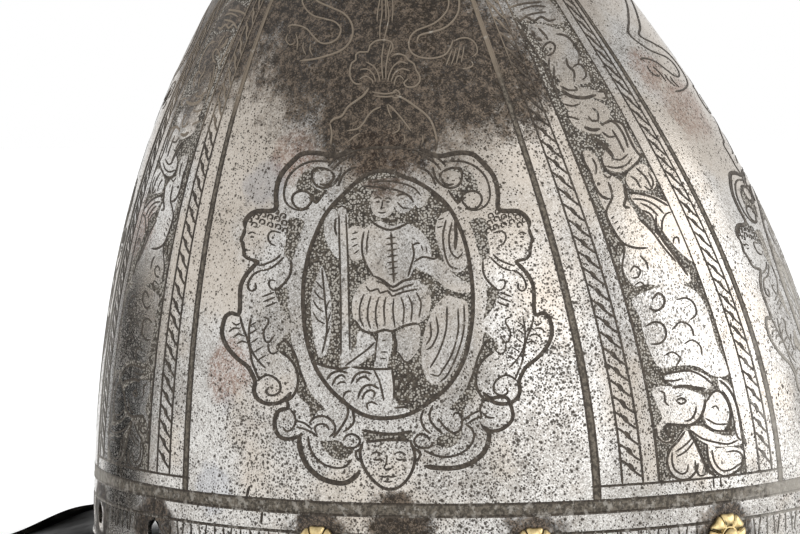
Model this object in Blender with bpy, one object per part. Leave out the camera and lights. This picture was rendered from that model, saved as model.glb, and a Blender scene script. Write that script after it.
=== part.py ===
import math

import bmesh
import bpy
import numpy as np
from mathutils import Matrix, Vector

# Etched steel cabasset, in metres. +Z is up and the front faces -Y.
# It rests on the flat underside of its brim's edge bead, at z = 0.

# Bowl: an almond form on an oval base, leaning back towards its apex.
BOWL_HALF_LENGTH = 0.120
BOWL_HALF_WIDTH = 0.101
BOWL_HEIGHT = 0.232
LEAN_BACK = 0.0135
KEEL = 1.2
STEEL = 0.0014
FOOT_HEIGHT = 0.008

# Stalk: a short nub that leans back from the apex.
STALK_HEIGHT = 0.014
STALK_RADIUS = 0.0036
STALK_LEAN = 0.003

# Brim: a drooping oval with a solid bead along its edge.
BRIM_OVERHANG_ENDS = 0.045
BRIM_OVERHANG_SIDES = 0.026
BRIM_DROP = 0.010
BRIM_SQUARENESS = 2.2
CORNER_RISE = 0.0050
ROOT_FILLET = 0.0035
BEAD_RADIUS = 0.0024
BEAD_FLAT_ANGLE = math.radians(70)
BEAD_JOIN_HEIGHT = 0.45

# Rosette rivets: petalled washer, domed head, shank and clenched end.
ROSETTE_COUNT = 12
ROSETTE_START = math.radians(20)
ROSETTE_HEIGHT_ON_BOWL = 0.0015
ROSETTE_RADIUS = 0.0072
PETAL_COUNT = 8
PETAL_DEPTH = 0.14
PETAL_THICKNESS = 0.0007
WASHER_RISE = 0.0012
HEAD_RADIUS = 0.0029
HEAD_HEIGHT = 0.0020
SHANK_RADIUS = 0.0015
CLENCH_RADIUS = 0.0030
CLENCH_THICKNESS = 0.0009

SEAT_GAP = 0.0003
HOLE_CLEARANCE = 0.0003
INNER_GAP = 0.0005

# Two rosettes are lost at the right rear, and their holes are worn wide: place, drift round the bowl.
LOST_ROSETTES = {9: math.radians(6.5), 10: math.radians(-1.2)}
WORN_HOLE_RADIUS = 0.0033

# Mesh fineness.
BOWL_COLUMNS = 56
BOWL_ROWS = 15
BRIM_ROWS = 3
HOLE_SIDES = 12

# Lean of the centre line over the bowl's height: factors of t, t squared and t cubed.
LEAN_SHAPE = (-0.54, 4.32, -2.78)
# Side outline and front outline: (1 - t ** round) ** point.
SIDE_ROUND, SIDE_POINT = 2.01, 0.848
FRONT_ROUND, FRONT_POINT = 2.44, 0.857
# The edge stays level near the ends and sides, and rises between them over this span.
CORNER_START, CORNER_SPAN = 0.05, 0.60
# The bowl's plate ends here and the stalk begins.
PLATE_TOP = 0.985

# Stalk: share of its height, share of its radius.
STALK_ROWS = (
    (0.10, 1.30),
    (0.30, 0.95),
    (0.58, 0.92),
    (0.82, 0.84),
    (0.96, 0.50),
)

BEAD_BOTTOM = BEAD_RADIUS * math.sin(BEAD_FLAT_ANGLE)
ROOT_Z = BEAD_BOTTOM + BRIM_DROP
BOWL_FOOT_Z = ROOT_Z + FOOT_HEIGHT
FILLET_TURNS = (math.radians(30), math.radians(60))
BEAD_ANGLES = (
    math.radians(125), math.radians(85), math.radians(45), 0.0, math.radians(-38),
    -BEAD_FLAT_ANGLE, BEAD_FLAT_ANGLE - math.pi,
)


def signed_power(values, power):
    return np.sign(values) * np.abs(values) ** power


def bowl_ring(share, angles):
    """Points round the bowl at a share of its height: an oval with a soft keel front and back."""
    half_length = BOWL_HALF_LENGTH * (1 - share ** SIDE_ROUND) ** SIDE_POINT
    half_width = BOWL_HALF_WIDTH * (1 - share ** FRONT_ROUND) ** FRONT_POINT
    lean = LEAN_BACK * sum(f * share ** (i + 1) for i, f in enumerate(LEAN_SHAPE))
    x = -half_width * signed_power(np.cos(angles), KEEL)
    y = lean - half_length * np.sin(angles)
    z = np.full_like(angles, BOWL_FOOT_Z + share * BOWL_HEIGHT)
    return np.stack([x, y, z], axis=-1)


def edge_ring(angles):
    """Outermost points of the brim in plan, at the height of the bead's centre."""
    power = 2 / BRIM_SQUARENESS
    x = -(BOWL_HALF_WIDTH + BRIM_OVERHANG_SIDES) * signed_power(np.cos(angles), power)
    y = -(BOWL_HALF_LENGTH + BRIM_OVERHANG_ENDS) * signed_power(np.sin(angles), power)
    corner = np.clip((np.sin(2 * angles) ** 2 - CORNER_START) / CORNER_SPAN, 0, 1)
    z = BEAD_BOTTOM + CORNER_RISE * corner * corner * (3 - 2 * corner)
    return np.stack([x, y, z], axis=-1)


def outer_rows(angles):
    """Outer skin from the top of the plate down the bowl and out along the brim."""
    shares = PLATE_TOP * np.sin(np.linspace(1, 0, BOWL_ROWS) * math.pi / 2)
    rows = [bowl_ring(share, angles) for share in shares]

    foot = bowl_ring(0.0, angles)
    edge = edge_ring(angles)
    outward = (edge - foot) * (1, 1, 0)
    outward /= np.linalg.norm(outward, axis=1, keepdims=True)

    foot[:, 2] = ROOT_Z + ROOT_FILLET
    rows.append(foot)
    for turn in FILLET_TURNS:
        step = outward * ROOT_FILLET * (1 - math.cos(turn))
        ring = foot + step
        ring[:, 2] -= ROOT_FILLET * math.sin(turn)
        rows.append(ring)

    start = rows[-1]
    rim = edge - outward * BEAD_RADIUS * (1 - math.cos(BEAD_ANGLES[0]))
    rim[:, 2] = edge[:, 2] + BEAD_RADIUS * BEAD_JOIN_HEIGHT
    for share in np.linspace(0, 1, BRIM_ROWS + 1)[1:]:
        rows.append(start + (rim - start) * share)
    return np.array(rows), outward, edge


def skin_normals(rows):
    """Outward normals of a grid of rings, from differences along and across the rings."""
    around = np.roll(rows, -1, axis=1) - np.roll(rows, 1, axis=1)
    down = np.gradient(rows, axis=0)
    normals = np.cross(down, around)
    normals /= np.linalg.norm(normals, axis=2, keepdims=True)
    centre = np.array([0.0, 0.0, BOWL_FOOT_Z])
    if np.sum(normals[BOWL_ROWS - 2] * (rows[BOWL_ROWS - 2] - centre)) < 0:
        normals = -normals
    return normals


def stalk_rings(angles):
    """Rings of the stalk from its tip down to the bowl, and its tip."""
    base = bowl_ring(PLATE_TOP, angles).mean(axis=0)
    rings = []
    for height, radius in reversed(STALK_ROWS):
        centre = base + np.array([0, STALK_LEAN * height ** 2, STALK_HEIGHT * height])
        ring = np.stack([-np.cos(angles), -np.sin(angles), 0 * angles], axis=-1)
        rings.append(centre + ring * STALK_RADIUS * radius)
    tip = base + np.array([0, STALK_LEAN, STALK_HEIGHT])
    return rings, tip


def closed_loft(name, rings, first_pole, last_pole):
    """A closed mesh through rings of equal count, shut by a fan at each pole."""
    mesh = bmesh.new()
    top = mesh.verts.new(first_pole)
    bottom = mesh.verts.new(last_pole)
    loops = [[mesh.verts.new(point) for point in ring] for ring in rings]
    count = len(loops[0])
    for j in range(count):
        k = (j + 1) % count
        mesh.faces.new((top, loops[0][j], loops[0][k]))
        mesh.faces.new((bottom, loops[-1][k], loops[-1][j]))
        for upper, lower in zip(loops, loops[1:]):
            mesh.faces.new((upper[j], lower[j], lower[k], upper[k]))
    bmesh.ops.recalc_face_normals(mesh, faces=mesh.faces)
    data = bpy.data.meshes.new(name)
    mesh.to_mesh(data)
    mesh.free()
    return data


def add_object(name, data, collection, material=None):
    obj = bpy.data.objects.new(name, data)
    collection.objects.link(obj)
    if material:
        data.materials.clear()
        data.materials.append(material)
        data.shade_smooth()
        data.set_sharp_from_angle(angle=math.radians(40))
    return obj


def metal(name, color, roughness):
    material = bpy.data.materials.new(name)
    material.use_nodes = True
    shader = material.node_tree.nodes["Principled BSDF"]
    shader.inputs["Base Color"].default_value = (*color, 1)
    shader.inputs["Roughness"].default_value = roughness
    shader.inputs["Metallic"].default_value = 1.0
    return material


def skull_mesh():
    """Stalk, bowl and brim outside, round the bead, and back up the inside."""
    angles = np.arange(BOWL_COLUMNS) * 2 * math.pi / BOWL_COLUMNS
    outside, outward, edge = outer_rows(angles)
    inside = outside - skin_normals(outside) * STEEL
    stalk, tip = stalk_rings(angles)

    bead_centre = edge - outward * BEAD_RADIUS
    up = np.array([0.0, 0.0, 1.0])
    bead = [
        bead_centre + BEAD_RADIUS * (outward * math.cos(a) + up * math.sin(a))
        for a in BEAD_ANGLES
    ]
    inner_pole = inside[0].mean(axis=0)
    rings = stalk + list(outside[:-1]) + bead + list(inside[:-1][::-1])
    return closed_loft("skull", rings, tip, inner_pole)


def rivet_frame(place):
    """A frame on the bowl for one rivet place: its own +Z is the outward normal of the wall."""
    share = ROSETTE_HEIGHT_ON_BOWL / BOWL_HEIGHT
    angle = ROSETTE_START + place * 2 * math.pi / ROSETTE_COUNT + LOST_ROSETTES.get(place, 0.0)
    near = bowl_ring(share, np.array([angle - 0.02, angle, angle + 0.02]))
    along = Vector(near[2] - near[0]).normalized()
    up = Vector((0, 0, 1))
    normal = along.cross(up).normalized()
    centre = Vector(near[1])
    if normal.dot(centre) < 0:
        normal = -normal
    turned = Matrix((up.cross(normal), up, normal)).transposed().to_4x4()
    return Matrix.Translation(centre) @ turned


def rosette_mesh():
    """Rosette about its own Z, with z = 0 on the bowl's outer skin."""
    count = 2 * PETAL_COUNT
    angles = np.arange(count) * 2 * math.pi / count + math.pi / count
    petals = 1 - PETAL_DEPTH * (0.5 - 0.5 * np.cos(PETAL_COUNT * (angles - angles[0])))

    under = SEAT_GAP
    rim_top = under + PETAL_THICKNESS
    crown = rim_top + WASHER_RISE
    head_top = crown + HEAD_HEIGHT
    clench_top = -STEEL - INNER_GAP
    clench_end = clench_top - CLENCH_THICKNESS
    groove_radius = HEAD_RADIUS + 0.06 * ROSETTE_RADIUS
    petal_crest = 0.68 * ROSETTE_RADIUS

    # radius, height, share of the petal outline that the ring follows
    stations = (
        (0.42 * HEAD_RADIUS, crown + 0.90 * HEAD_HEIGHT, 0.0),
        (0.80 * HEAD_RADIUS, crown + 0.58 * HEAD_HEIGHT, 0.0),
        (HEAD_RADIUS, crown, 0.0),
        (groove_radius, crown - 0.45 * WASHER_RISE, 0.0),
        (petal_crest, crown, 0.5),
        (ROSETTE_RADIUS, rim_top, 1.0),
        (ROSETTE_RADIUS, under, 1.0),
        (SHANK_RADIUS, under, 0.0),
        (SHANK_RADIUS, clench_top, 0.0),
        (CLENCH_RADIUS, clench_top, 0.0),
        (0.85 * CLENCH_RADIUS, clench_end, 0.0),
    )
    rings = []
    for radius, height, follow in stations:
        reach = radius * (1 + follow * (petals - 1))
        rings.append(np.stack(
            [reach * np.cos(angles), reach * np.sin(angles), np.full(count, height)], axis=-1))
    return closed_loft("rosette", rings, (0, 0, head_top), (0, 0, clench_end - 0.0001))


def hole_cutter(collection):
    """Cylinders through the wall, one for each shank and a wider one where a rosette is lost."""
    mesh = bmesh.new()
    for place in range(ROSETTE_COUNT):
        radius = WORN_HOLE_RADIUS if place in LOST_ROSETTES else SHANK_RADIUS + HOLE_CLEARANCE
        bmesh.ops.create_cone(
            mesh, cap_ends=True, segments=HOLE_SIDES, radius1=radius, radius2=radius,
            depth=8 * STEEL, matrix=rivet_frame(place))
    data = bpy.data.meshes.new("rivet_holes")
    mesh.to_mesh(data)
    mesh.free()
    cutter = add_object("rivet_holes", data, collection)
    cutter.hide_render = True
    cutter.display_type = "WIRE"
    return cutter


def main():
    for obj in list(bpy.data.objects):
        bpy.data.objects.remove(obj, do_unlink=True)
    helmet = bpy.data.collections.new("cabasset")
    cutters = bpy.data.collections.new("cutters")
    bpy.context.scene.collection.children.link(helmet)
    bpy.context.scene.collection.children.link(cutters)

    steel = metal("etched_steel", (0.42, 0.40, 0.38), 0.38)
    brass = metal("gilt_brass", (0.62, 0.44, 0.16), 0.35)

    skull = add_object("skull", skull_mesh(), helmet, steel)
    holes = skull.modifiers.new("rivet_holes", "BOOLEAN")
    holes.operation = "DIFFERENCE"
    holes.solver = "EXACT"
    holes.object = hole_cutter(cutters)

    shared = rosette_mesh()
    places = [place for place in range(ROSETTE_COUNT) if place not in LOST_ROSETTES]
    for number, place in enumerate(places, start=1):
        rosette = add_object(f"rosette_{number:02d}", shared, helmet, brass)
        rosette.matrix_world = rivet_frame(place)


main()
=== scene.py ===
import bmesh
import bpy
import numpy as np
from mathutils import Matrix, Vector
from mathutils.geometry import delaunay_2d_cdt


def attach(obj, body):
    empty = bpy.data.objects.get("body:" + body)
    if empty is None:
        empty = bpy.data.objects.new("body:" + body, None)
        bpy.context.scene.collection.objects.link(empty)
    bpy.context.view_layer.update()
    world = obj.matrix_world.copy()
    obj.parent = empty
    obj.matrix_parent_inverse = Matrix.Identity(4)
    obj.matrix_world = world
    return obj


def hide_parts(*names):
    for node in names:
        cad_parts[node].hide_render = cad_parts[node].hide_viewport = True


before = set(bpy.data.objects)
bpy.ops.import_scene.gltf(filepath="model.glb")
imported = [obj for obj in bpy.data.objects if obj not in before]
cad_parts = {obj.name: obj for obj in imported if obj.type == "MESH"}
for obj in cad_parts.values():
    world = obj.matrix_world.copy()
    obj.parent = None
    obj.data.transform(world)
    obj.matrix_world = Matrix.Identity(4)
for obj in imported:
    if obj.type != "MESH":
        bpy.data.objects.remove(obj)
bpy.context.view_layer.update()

sightLine = {  # camera of the photograph, also used to lay the drawing on the bowl
    "place": np.array([-0.81919, -0.16391, 0.14056]),
    "aim": np.array([0.975032, 0.216142, -0.050942]),
    "right": np.array([0.215774, -0.976361, -0.012689]),
    "up": np.array([0.052480, -0.001380, 0.998621]),
    "pictureWide": 800,
    "pictureHigh": 534,
    "focal": 2609.2,  # in picture points
    "sensor": 36,
    "near": 0.05,
    "far": 100,
}

bowl = {
    "halfLength": 0.120,
    "halfWidth": 0.101,
    "height": 0.232,
    "foot": 0.020255,
    "leanBack": 0.0135,
    "leanShape": (-0.54, 4.32, -2.78),
    "sideRound": 2.01,
    "sidePoint": 0.848,
    "frontRound": 2.44,
    "frontPoint": 0.857,
    "keel": 1.2,
    "plateTop": 0.985,
    "wall": 0.0014,
    "nearTop": 0.99999,  # highest share of the height in use
    "aroundStep": 0.012,  # radians, then share of the height, either side of a normal
    "upStep": 0.004,
}

brim = {
    "rootZ": 0.012255,
    "fillet": 0.0035,
    "filletTurn": np.radians(60),
    "overhangEnds": 0.045,
    "overhangSides": 0.026,
    "squareness": 2.2,
    "cornerRise": 0.0050,
    "cornerStart": 0.05,
    "cornerSpan": 0.60,
    "beadRadius": 0.0024,
    "beadTurn": np.radians(125),  # where the bead starts on top, and where its flat underside starts
    "beadFlat": np.radians(70),
    "beadBottom": 0.002255,
    "beadJoin": 0.45,
}

stalk = {
    "height": 0.014,
    "radius": 0.0036,
    "lean": 0.003,
    "rings": 30,
    "heights": (1.0, 0.995, 0.96, 0.90, 0.82, 0.70, 0.58, 0.42, 0.30, 0.18, 0.10, 0.04, 0.0),
    "radii": (0.02, 0.22, 0.50, 0.70, 0.84, 0.91, 0.92, 0.92, 0.95, 1.08, 1.30, 1.52, 1.64),
}


def signedPower(values, power):
    # Sign of the value times its size raised to a power.
    return np.sign(values) * np.abs(values) ** power


def bowlPoint(angle, share):
    # Oval ring at a share of the height. Each half shrinks by (1 - share ^ round) ^ point, and the
    # centre leans back by a cubic in the share.
    share = np.clip(share, 0, bowl["nearTop"])
    length = bowl["halfLength"] * (1 - share ** bowl["sideRound"]) ** bowl["sidePoint"]
    width = bowl["halfWidth"] * (1 - share ** bowl["frontRound"]) ** bowl["frontPoint"]
    first, second, third = bowl["leanShape"]
    lean = bowl["leanBack"] * (first * share + second * share ** 2 + third * share ** 3)
    x = -width * signedPower(np.cos(angle), bowl["keel"])
    y = lean - length * np.sin(angle)
    z = bowl["foot"] + share * bowl["height"] + 0 * angle
    return np.stack([x, y, z], axis=-1)


def bowlNormal(angle, share):
    # Cross product of the steps along and up the surface, turned outwards.
    turn, rise = bowl["aroundStep"], bowl["upStep"]
    around = bowlPoint(angle + turn, share) - bowlPoint(angle - turn, share)
    upward = bowlPoint(angle, share + rise) - bowlPoint(angle, np.maximum(share - rise, 0))
    normal = np.cross(around, upward)
    normal /= np.linalg.norm(normal, axis=-1, keepdims=True)
    outside = np.sum(normal[..., :2] * bowlPoint(angle, share)[..., :2], axis=-1, keepdims=True)
    return np.where(outside < 0, -normal, normal)


def makeMesh(name, points, faces, materials, faceMaterial=None, uv=None, normals=None):
    # A mesh object from whole arrays; uv is given for each face corner.
    mesh = bpy.data.meshes.new(name)
    mesh.from_pydata(points.tolist(), [], faces)
    for material in materials:
        mesh.materials.append(material)
    if faceMaterial is not None:
        mesh.polygons.foreach_set("material_index", faceMaterial.astype(np.int32))
    mesh.polygons.foreach_set("use_smooth", np.ones(len(mesh.polygons), bool))
    if uv is not None:
        layer = mesh.uv_layers.new(name="OFBake")
        layer.data.foreach_set("uv", uv.astype(np.float32).ravel())
    mesh.update()
    if normals is not None:
        mesh.normals_split_custom_set_from_vertices(normals.tolist())
    piece = bpy.data.objects.new(name, mesh)
    bpy.context.scene.collection.objects.link(piece)
    return piece


def addNode(tree, kind, settings=None, **inputs):
    # One shader node; a value that is a socket is linked, any other is set on the input.
    node = tree.nodes.new(kind)
    for key, value in (settings or {}).items():
        setattr(node, key, value)
    for key, value in inputs.items():
        socket = node.inputs[int(key[1:])] if key[0] == "_" else node.inputs[key.replace("_", " ")]
        if isinstance(value, bpy.types.NodeSocket):
            tree.links.new(value, socket)
        else:
            socket.default_value = value
    return node


def noise(tree, place, scale, detail, rough):
    # Cloudy values between 0 and 1; the scale is in clouds to a metre.
    made = addNode(tree, "ShaderNodeTexNoise", Vector=place, Scale=scale, Detail=detail,
                   Roughness=rough)
    return made.outputs["Fac"]


def ramp(tree, value, low, high):
    # Runs from 0 to 1 as the value goes from low to high, with smooth ends.
    made = addNode(tree, "ShaderNodeMapRange", {"interpolation_type": "SMOOTHSTEP"}, Value=value)
    made.inputs["From Min"].default_value = low
    made.inputs["From Max"].default_value = high
    return made.outputs["Result"]


def math2(tree, operation, first, second):
    # One operation on two values.
    return addNode(tree, "ShaderNodeMath", {"operation": operation}, _0=first, _1=second).outputs[0]


def weighted(tree, value, factor, offset):
    # The value times a factor, plus an offset that may be another value.
    return addNode(tree, "ShaderNodeMath", {"operation": "MULTIPLY_ADD"}, _0=value, _1=factor,
                   _2=offset).outputs[0]


def mixColor(tree, share, first, second):
    # The first colour where the share is 0, the second where it is 1.
    made = addNode(tree, "ShaderNodeMix", {"data_type": "RGBA"})
    for socket, value in (("Factor", share), ("A", first), ("B", second)):
        target = next(s for s in made.inputs if s.name == socket
                      and s.type == ("VALUE" if socket == "Factor" else "RGBA"))
        if isinstance(value, bpy.types.NodeSocket):
            tree.links.new(value, target)
        else:
            target.default_value = (*value, 1)
    return next(s for s in made.outputs if s.type == "RGBA")


def newMaterial(name):
    material = bpy.data.materials.new(name)
    material.use_nodes = True
    tree = material.node_tree
    return material, tree, tree.nodes["Principled BSDF"]


def objectPlace(tree):
    # Position in metres, as the pieces all stand at the origin.
    return addNode(tree, "ShaderNodeTexCoord").outputs["Object"]


def axisOf(tree, place, axis):
    return addNode(tree, "ShaderNodeSeparateXYZ", Vector=place).outputs[axis]


def fineRelief(tree, shader, height, strength):
    # Bumps a tenth of a millimetre deep.
    bump = addNode(tree, "ShaderNodeBump", Strength=strength, Distance=0.0001, Height=height)
    tree.links.new(bump.outputs["Normal"], shader.inputs["Normal"])


stainEdge = {"noise": (45, 4, 0.6), "core": 0.35}  # the core is the share of the radius that is full


def stain(tree, place, centre, radius, ragged):
    # A soft blot: 1 in its core, 0 past its radius, with a wandering edge.
    away = addNode(tree, "ShaderNodeVectorMath", {"operation": "DISTANCE"}, _0=place, _1=centre)
    wander = weighted(tree, noise(tree, place, *stainEdge["noise"]), ragged, -ragged / 2)
    reach = math2(tree, "ADD", away.outputs["Value"], wander)
    return ramp(tree, reach, radius, radius * stainEdge["core"])


steelLook = {
    "bright": (0.74, 0.725, 0.70),
    "dull": (0.34, 0.32, 0.295),
    "pale": (0.60, 0.53, 0.45),
    "pit": (0.050, 0.040, 0.030),
    "tarnish": (0.014, 0.010, 0.008),
    "tarnishPale": (0.200, 0.154, 0.115),
    "rust": (0.25, 0.13, 0.085),
    "bluing": (0.20, 0.24, 0.33),
    "stains": (  # centre, radius, ragged edge; the first three also pale the etched lines
        ((-0.070, 0.014, 0.180), 0.058, 0.026),
        ((-0.081, 0.004, 0.148), 0.034, 0.018),
        ((-0.048, 0.066, 0.186), 0.056, 0.026),
        ((-0.074, -0.022, 0.162), 0.034, 0.020),
        ((-0.046, -0.040, 0.205), 0.036, 0.022),
        ((-0.098, 0.020, 0.026), 0.012, 0.016),
        ((-0.101, -0.004, 0.030), 0.012, 0.016),
        ((0.078, 0.010, 0.190), 0.046, 0.070),
        ((0.060, 0.085, 0.090), 0.034, 0.050),
        ((0.030, -0.095, 0.070), 0.024, 0.040),
    ),
    "rustSpots": (
        ((-0.019, -0.078, 0.147), 0.020, 0.018),
        ((-0.028, -0.070, 0.162), 0.014, 0.014),
        ((-0.087, 0.050, 0.072), 0.013, 0.014),
        ((-0.087, 0.004, 0.134), 0.016, 0.016),
        ((-0.081, 0.030, 0.134), 0.012, 0.014),
        ((-0.046, 0.090, 0.112), 0.016, 0.018),
        ((0.070, -0.060, 0.110), 0.030, 0.024),
    ),
    "pittedSpots": (
        ((-0.100, -0.018, 0.040), 0.042, 0.020),
        ((-0.082, -0.060, 0.080), 0.046, 0.022),
        ((-0.093, 0.036, 0.046), 0.026, 0.020),
        ((-0.070, -0.040, 0.150), 0.030, 0.020),
        ((0.090, 0.020, 0.060), 0.045, 0.024),
        ((0.020, 0.105, 0.060), 0.040, 0.024),
    ),
    "apexTarnish": (0.165, 0.225, 0.55),  # heights where it starts and is full, and its share
    "obliqueTurn": (0.7, 0.4, 1.1),  # keeps the fine noises' own axes off the bowl's
    "cloud": (46, 5, 0.68),  # noises: scale, detail, roughness
    "grain": (2100, 2, 0.7),
    "coarse": (850, 3, 0.7),
    "broken": (190, 6, 0.78),
    "warmth": (27, 3, 0.6),
    "crowding": (60, 4, 0.7),
    "tarnishGrain": (380, 6, 0.88),
    "toneParts": (0.32, 0.46, 0.22),  # of cloud, grain and coarse noise
    "toneRange": (0.415, 0.585),
    "warmHeights": (0.050, 0.140),
    "warmByHeight": 0.16,
    "warmRange": (0.46, 0.70),
    "warmShare": 0.70,
    "spotBreak": 1.6,  # how far the broken noise eats into rust and bluing
    "spotRange": (1.05, 1.85),
    "fleckGrain": 0.5,
    "fleckRange": (0.62, 0.86),
    "rustShares": (0.42, 0.24),  # in the flecks, and under them all
    "blueShare": 0.28,
    "tarnishBreak": 1.8,
    "tarnishFlecks": 1.2,
    "tarnishRange": (1.50, 2.35),
    "tarnishShare": 0.94,
    # ramp of the dirt and painted shade round the rivets and along the foot
    "dirtAndShadeRange": (1.25, 1.85),
    "patchGrain": 0.5,
    "patchRange": (0.69, 0.88),
    "crowdBySpot": 0.24,
    "smallPits": (1450, 0.38, 1.62),  # cells to a metre, radius in cells, least draw
    "largePits": (640, 0.30, 1.80),
    "pitEdges": (1.3, 0.7),
    "pitCrowd": 2.0,
    "pitDraw": 0.08,
    "pitShare": 0.90,
    "roughByTarnish": 0.7,
    "roughness": (0.36, 0.21),  # factor and offset by pits and tarnish, and so for the metal
    "metallic": (-0.45, 1.0),
    "specular": 0.12,
    "pitRelief": -1.2,
    "relief": 0.35,
    "blueSpots": (
        ((-0.087, 0.056, 0.037), 0.010, 0.012),
        ((-0.085, 0.047, 0.062), 0.007, 0.010),
        ((-0.080, 0.040, 0.125), 0.012, 0.016),
        ((0.080, 0.050, 0.060), 0.014, 0.014),
    ),
}


def gather(tree, place, spots):
    # The strongest of several stains.
    total = stain(tree, place, *spots[0])
    for spot in spots[1:]:
        total = math2(tree, "MAXIMUM", total, stain(tree, place, *spot))
    return total


def pockMarks(tree, place, crowd, scale, radius, least):
    # Round pits in the cells of a random pattern, in more of the cells where the crowd value is high.
    outer, inner = steelLook["pitEdges"]
    cell = addNode(tree, "ShaderNodeTexVoronoi", Vector=place, Scale=scale, Randomness=1.0)
    inside = ramp(tree, cell.outputs["Distance"], radius * outer, radius * inner)
    draw = addNode(tree, "ShaderNodeSeparateColor", Color=cell.outputs["Color"]).outputs["Red"]
    chance = weighted(tree, crowd, steelLook["pitCrowd"], draw)
    return math2(tree, "MULTIPLY", inside, ramp(tree, chance, least, least + steelLook["pitDraw"]))


def etchedSteel(name, wear):
    # Bright old steel: fine grain on grey clouds, dark pits, brown tarnish in ragged blots.
    look = steelLook
    material, tree, shader = newMaterial(name)
    place = objectPlace(tree)
    oblique = addNode(tree, "ShaderNodeVectorRotate", {"rotation_type": "EULER_XYZ"}, Vector=place,
                      Rotation=look["obliqueTurn"]).outputs[0]
    grain = noise(tree, oblique, *look["grain"])
    coarse = noise(tree, oblique, *look["coarse"])
    broken = noise(tree, place, *look["broken"])
    height = axisOf(tree, place, "Z")

    def spots(kind):
        # Blots of one kind, eaten into by the broken noise.
        return weighted(tree, broken, look["spotBreak"], gather(tree, place, look[kind]))

    byCloud, byGrain, byCoarse = look["toneParts"]
    speckle = weighted(tree, grain, byGrain, math2(tree, "MULTIPLY", coarse, byCoarse))
    tone = weighted(tree, noise(tree, place, *look["cloud"]), byCloud, speckle)
    color = mixColor(tree, ramp(tree, tone, *look["toneRange"]), look["bright"], look["dull"])

    warm = weighted(tree, ramp(tree, height, *look["warmHeights"]), look["warmByHeight"],
                    noise(tree, place, *look["warmth"]))
    warm = math2(tree, "MULTIPLY", ramp(tree, warm, *look["warmRange"]), look["warmShare"])
    color = mixColor(tree, warm, color, look["pale"])

    flecked = ramp(tree, weighted(tree, grain, look["fleckGrain"], coarse), *look["fleckRange"])
    rust = math2(tree, "MULTIPLY", ramp(tree, spots("rustSpots"), *look["spotRange"]),
                 weighted(tree, flecked, *look["rustShares"]))
    color = mixColor(tree, rust, color, look["rust"])
    blue = ramp(tree, spots("blueSpots"), *look["spotRange"])
    color = mixColor(tree, math2(tree, "MULTIPLY", blue, look["blueShare"]), color, look["bluing"])

    low, high, share = look["apexTarnish"]
    above = math2(tree, "MULTIPLY", ramp(tree, height, low, high), share)
    above = math2(tree, "MAXIMUM", above, gather(tree, place, look["stains"]))
    dark = weighted(tree, broken, look["tarnishBreak"], above)
    dark = ramp(tree, weighted(tree, grain, look["tarnishFlecks"], dark), *look["tarnishRange"])
    # Dirt and painted shade round the rivets and along the foot, stored on the points.
    darkening = addNode(tree, "ShaderNodeAttribute", {"attribute_name": "darkening"}).outputs["Fac"]
    dirtAndShade = ramp(tree, weighted(tree, broken, look["tarnishBreak"], darkening), *look["dirtAndShadeRange"])
    dark = math2(tree, "MAXIMUM", dark, dirtAndShade)
    patch = weighted(tree, grain, look["patchGrain"], noise(tree, oblique, *look["tarnishGrain"]))
    brown = mixColor(tree, ramp(tree, patch, *look["patchRange"]), look["tarnish"], look["tarnishPale"])
    color = mixColor(tree, math2(tree, "MULTIPLY", dark, look["tarnishShare"]), color, brown)

    crowd = weighted(tree, gather(tree, place, look["pittedSpots"]), look["crowdBySpot"],
                     noise(tree, place, *look["crowding"]))
    small = pockMarks(tree, oblique, crowd, *look["smallPits"])
    large = pockMarks(tree, oblique, crowd, *look["largePits"])
    pitted = math2(tree, "MULTIPLY", math2(tree, "MAXIMUM", small, large), wear)
    color = mixColor(tree, math2(tree, "MULTIPLY", pitted, look["pitShare"]), color, look["pit"])

    rough = math2(tree, "MAXIMUM", pitted, math2(tree, "MULTIPLY", dark, look["roughByTarnish"]))
    tree.links.new(color, shader.inputs["Base Color"])
    tree.links.new(weighted(tree, rough, *look["roughness"]), shader.inputs["Roughness"])
    tree.links.new(weighted(tree, rough, *look["metallic"]), shader.inputs["Metallic"])
    shader.inputs["Specular IOR Level"].default_value = look["specular"]
    fineRelief(tree, shader, weighted(tree, pitted, look["pitRelief"], grain), look["relief"])
    return material


grooveLook = {  # dark and light of each
    "line": ((0.040, 0.031, 0.023), (0.090, 0.072, 0.054)),
    "strip": ((0.060, 0.050, 0.038), (0.200, 0.172, 0.135)),
    "ground": ((0.035, 0.028, 0.021), (0.11, 0.092, 0.070)),
    "mottle": (900, 3, 0.7),  # noises: scale, detail, roughness
    "dotWear": (120, 3, 0.6),
    "worn": (420, 4, 0.7),
    "rubbing": (300, 4, 0.7),
    "mottleRange": (0.38, 0.64),
    # lines in the dark upper stains: tan patina with painted light on the groove walls
    "paleLine": (0.235, 0.190, 0.142),
    "paleAbove": (0.136, 0.142),
    "paleRange": (0.05, 0.40),
    "paleStains": 3,
    "brokenBelow": (0.037, 0.034),  # heights between which the base ring's wear sets in
    "brokenByHeight": 0.10,
    "brokenRange": (0.60, 0.72),
    "brokenShare": 0.55,
    "rubbedPast": (0.108, 0.125),  # distance to front or rear from which grooves are rubbed light
    "rubbedByNoise": 0.03,
    "rubbedShare": 0.60,
    "dot": (0.50, 0.47, 0.42),
    "dotScale": 1450.0,
    "dotRandom": 0.85,
    "dotWearRange": (0.30, 0.62),
    "dotShrink": -0.12,
    "dotRange": (0.44, 0.24),
    "dotShare": 0.85,
    "roughness": 0.62,
    "metallic": 0.35,
    "relief": 0.35,
}


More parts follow.
